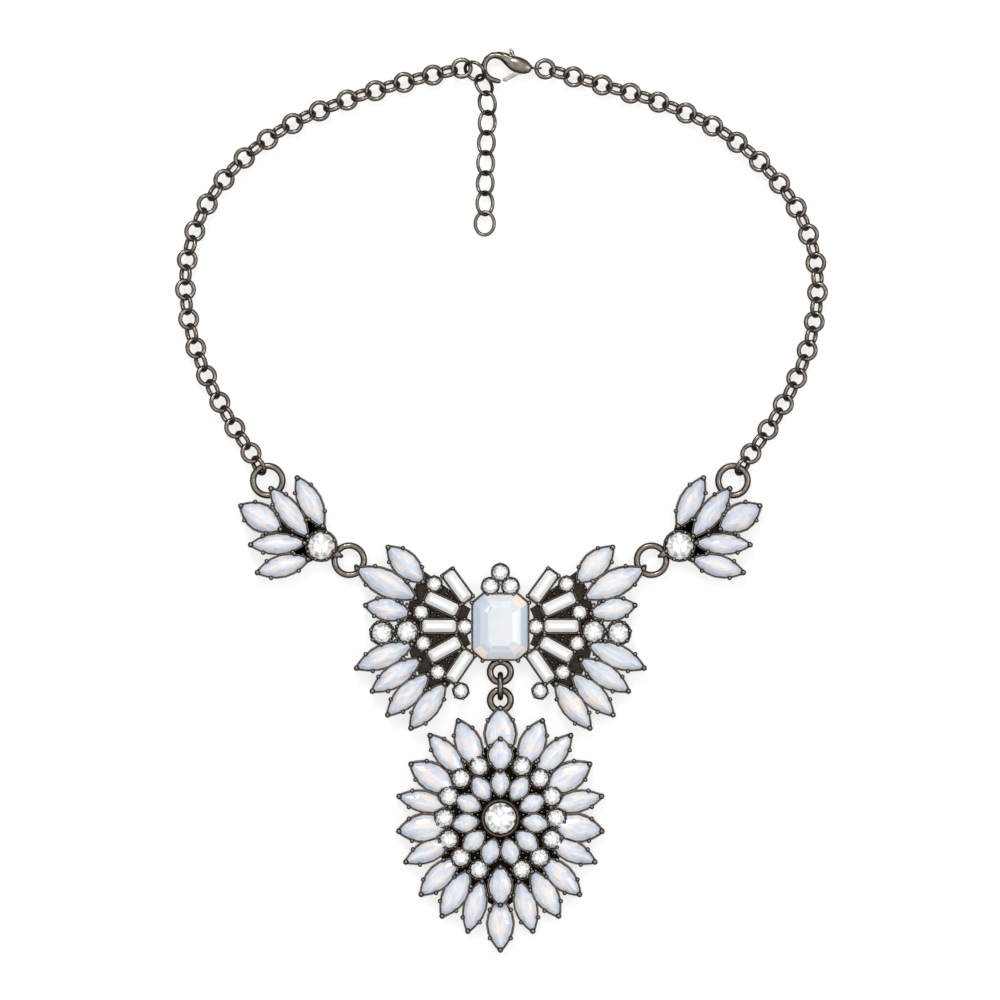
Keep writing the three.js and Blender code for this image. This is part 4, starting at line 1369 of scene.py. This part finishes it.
class NECKLACE_OT_bib_stones(NecklaceOperator):
    """Cut and set the bib's octagon, navettes, baguettes and rounds"""

    bl_idname = "necklace.bib_stones"
    bl_label = "Bib stones"

    def execute(self, context):
        gems = (navette_gem(), baguette_gem(), round_gem(), octagon_gem())
        navette, baguette, round_stone, octagon = gems
        for name in wing_nodes("navette", WING_NAVETTES):
            milky_navettes(name + "_stone", navette, [navette_lie(name)], (name,))
        for name in wing_nodes("baguette", WING_BAGUETTES):
            lie = baguette_lie(name)
            piece = fused(name + "_stone", [copy_at(baguette, lie.matrix(BAGUETTE, lie.seat, 1, STONE_FIT))])
            finished(piece, clear_stone("clear_step_stone", 0.35), nodes=(name,))
        low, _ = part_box("bib_octagon")
        stone = copy_at(octagon, place(Vector((0, 0, low.z / MM + OCTAGON_LIFT))))
        finish = milky_stone("milky_step_stone", True)
        finished(fused("bib_octagon_stone", [stone]), finish, nodes=("bib_octagon",))
        copies = []
        for lie in wing_round_lies():
            rise = lie.length / ROUND[0]
            copies.append(copy_at(round_stone, lie.matrix(ROUND, lie.seat, rise, STONE_FIT)))
        finished(fused("bib_round_stones", copies), clear_stone())
        drop_template(*gems)
        return {"FINISHED"}


class NECKLACE_OT_clusters(NecklaceOperator):
    """Make the two side clusters, their eyes and their stones"""

    bl_idname = "necklace.clusters"
    bl_label = "Side clusters"

    def execute(self, context):
        gems = (navette_gem(), round_gem())
        for hand, side in (("right", 1), ("left", -1)):
            self.cluster(hand, side, *gems)
        drop_template(*gems)
        return {"FINISHED"}

    def cluster(self, hand, side, navette, round_stone):
        bench = Workbench()
        crystal = round_lie(f"cluster_{hand}_crystal", CRYSTAL)
        crystal.seat = CRYSTAL_SEAT
        bench.set_round(crystal, 8, bench.side)
        for i in range(1, CLUSTER_NAVETTES + 1):
            name = f"cluster_{hand}_navette_{i}"
            lie = navette_lie(name)
            bench.set_navette(lie)
            bench.back_bar(crystal.at, lie.at.lerp(crystal.at, CLUSTER_BAR_SHARE))
            milky_navettes(name + "_stone", navette, [lie], (name,))
        name = f"cluster_{hand}_crystal"
        stone = copy_at(round_stone, crystal.matrix(ROUND, crystal.seat, CRYSTAL_RISE))
        finished(fused(name + "_stone", [stone]), clear_stone(), nodes=(name,))
        bench.navette_eye(f"cluster_{hand}_navette_2", f"ring_chain_{hand}")
        ring = node_middle(f"ring_wing_{hand}") - octagon_middle()
        way = (flat(ring) - crystal.at).normalized()
        bench.eye(flat(ring) - way * ring_circle(), ring.z, heading(crystal.at, ring))
        for spoke in CLUSTER_BEADS:
            at = crystal.at + wing_point(CLUSTER_BEAD_DISTANCE, spoke, side)
            bench.prong(bench.bead, at, BEAD_HEIGHT)
        bench.finish(f"cluster_{hand}_settings", f"cluster_{hand}", bib_metal())


class NECKLACE_OT_pendant(NecklaceOperator):
    """Make the pendant's soldered settings and cut its stones"""

    bl_idname = "necklace.pendant"
    bl_label = "Pendant"

    def execute(self, context):
        centre = pendant_middle()
        raised = {name: navette_lie(name) for name in ("pendant_navette_top", "pendant_navette_bottom")}
        petals, inner, rounds = petal_lies(), inner_lies(), pendant_round_lies()
        self.solder(centre, petals, [*inner, *raised.values()], rounds)
        navette, round_stone = navette_gem(), round_gem()
        milky_navettes("pendant_petal_stones", navette, petals, rise=PENDANT_RISE)
        milky_navettes("pendant_inner_stones", navette, inner, rise=PENDANT_RISE)
        for name, lie in raised.items():
            milky_navettes(name + "_stone", navette, [lie], (name,), PENDANT_RISE)
        copies = [copy_at(round_stone, lie.matrix(ROUND, lie.seat, 1, STONE_FIT)) for lie in rounds]
        finished(fused("pendant_round_stones", copies), clear_stone())
        lie = Lie(centre, 0, CENTRE_STONE, CENTRE_STONE, CENTRE_SEAT)
        stone = copy_at(round_stone, lie.matrix(ROUND, lie.seat, CENTRE_RISE))
        finished(fused("pendant_centre_stone", [stone]), clear_stone(), nodes=("pendant_centre",))
        drop_template(navette, round_stone)
        return {"FINISHED"}

    def solder(self, centre, petals, navettes, rounds):
        """The pendant's cups, bezel, back plate, bars, beads and ring, as one piece."""
        bench = Workbench()
        for lie in [*petals, *navettes]:
            bench.set_navette(lie)
        for lie in rounds:
            bench.set_round(lie, 6)
        inside = BEZEL_OUTER - 2 * BEZEL_WALL
        bench.cup(bench.round, Lie(centre, 0, inside, inside, BEZEL_SEAT), ROUND)
        bench.round_plate(centre)
        ordered = sorted(petals, key=lambda lie: heading(centre, lie.at))
        for pair in zip(ordered, [*ordered[1:], ordered[0]]):
            bench.back_bar(*(lie.at.lerp(centre, PETAL_BAR_SHARE) for lie in pair))
        for i in range(INNER_NAVETTES):
            angle = 360 * (i + 0.5) / INNER_NAVETTES
            for distance, aside in INNER_BEADS:
                bench.prong(bench.bead, centre + compass(distance, angle + aside), BEAD_HEIGHT)
        for i in range(ROUND_PLACES):
            angle = 360 * (i + 0.5) / ROUND_PLACES
            for distance in OUTER_BEADS:
                bench.prong(bench.bead, centre + compass(distance, angle), BEAD_HEIGHT)
        bench.drop_loop(-1)
        # The pendant's metal darkens below 3.6 mm, partly tarnish and partly painted shade under the stones.
        bench.finish("pendant_settings", "pendant_frame", antique_metal("pendant_metal", 1.6, 3.6))


class NECKLACE_OT_stage(NecklaceOperator):
    """Lay a pale floor, soft studio light and a camera straight above"""

    bl_idname = "necklace.stage"
    bl_label = "Stage"

    def execute(self, context):
        deselect()
        bpy.ops.mesh.primitive_plane_add(size=6, location=(0, 0, -0.0001))
        floor = context.object
        floor.name = "floor"
        floor.data.materials.append(floor_paper())
        self.light("key", (-0.2, 0.9, 1.1), size=0.4, power=6.5)
        self.light("fill", (0.9, 0.1, 1.0), size=0.5, power=2.5)
        self.sky(context)
        camera_data = bpy.data.cameras.new("camera")
        camera_data.lens = LENS
        camera_data.sensor_width = SENSOR
        camera_data.clip_end = 20
        camera = bpy.data.objects.new("camera", camera_data)
        middle = (cad_box[0] + cad_box[1]) / 2
        camera.location = (middle.x + AIM_SHIFT[0], middle.y + AIM_SHIFT[1], SPAN * LENS / SENSOR)
        context.collection.objects.link(camera)
        context.scene.camera = camera
        context.scene.view_settings.view_transform = "Standard"
        return {"FINISHED"}

    def light(self, name, location, size, power):
        """A square soft light that faces the floor's middle."""
        data = bpy.data.lights.new(name, "AREA")
        data.size = size
        data.energy = power
        lamp = bpy.data.objects.new(name, data)
        lamp.location = location
        lamp.rotation_euler = (-Vector(location)).to_track_quat("-Z", "Y").to_euler()
        bpy.context.collection.objects.link(lamp)

    def sky(self, context):
        """A pale studio, brighter overhead than round the sides."""
        world = context.scene.world or bpy.data.worlds.new("studio")
        context.scene.world = world
        world.use_nodes = True
        tree = world.node_tree
        background = tree.nodes["Background"]
        way = node(tree, "ShaderNodeTexCoord").outputs["Generated"]
        shade = remap(tree, parts_of(tree, way)["Z"], 0.25, 0.95)
        sky = blend_colours(tree, shade, (0.1, 0.1, 0.1), (1.0, 1.0, 1.0))
        tree.links.new(sky, background.inputs["Color"])
        background.inputs["Strength"].default_value = 1.22


class NECKLACE_PT_panel(bpy.types.Panel):
    bl_idname = "NECKLACE_PT_panel"
    bl_label = "Bib necklace"
    bl_space_type = "VIEW_3D"
    bl_region_type = "UI"
    bl_category = "Necklace"

    def draw(self, context):
        for operator in OPERATORS:
            self.layout.operator(operator.bl_idname)
        for group, kind in GROUPS.items():
            for name in kind.__annotations__:
                self.layout.prop(getattr(context.scene, group), name)


OPERATORS = (
    NECKLACE_OT_chains,
    NECKLACE_OT_rings,
    NECKLACE_OT_clasp,
    NECKLACE_OT_bib_settings,
    NECKLACE_OT_bib_stones,
    NECKLACE_OT_clusters,
    NECKLACE_OT_pendant,
    NECKLACE_OT_stage,
)
GROUPS = {"necklace_chain": ChainSizes, "necklace_settings": SettingSizes, "necklace_finishes": Finishes}


def register():
    for kind in (*GROUPS.values(), *OPERATORS, NECKLACE_PT_panel):
        bpy.utils.register_class(kind)
    for name, kind in GROUPS.items():
        setattr(bpy.types.Scene, name, bpy.props.PointerProperty(type=kind))


def unregister():
    for name in GROUPS:
        delattr(bpy.types.Scene, name)
    for kind in (NECKLACE_PT_panel, *reversed(OPERATORS), *GROUPS.values()):
        bpy.utils.unregister_class(kind)


def main():
    register()
    bpy.ops.necklace.chains()
    bpy.ops.necklace.rings()
    bpy.ops.necklace.clasp()
    bpy.ops.necklace.bib_settings()
    bpy.ops.necklace.bib_stones()
    bpy.ops.necklace.clusters()
    bpy.ops.necklace.pendant()
    bpy.ops.necklace.stage()


if __name__ == "__main__":
    main()
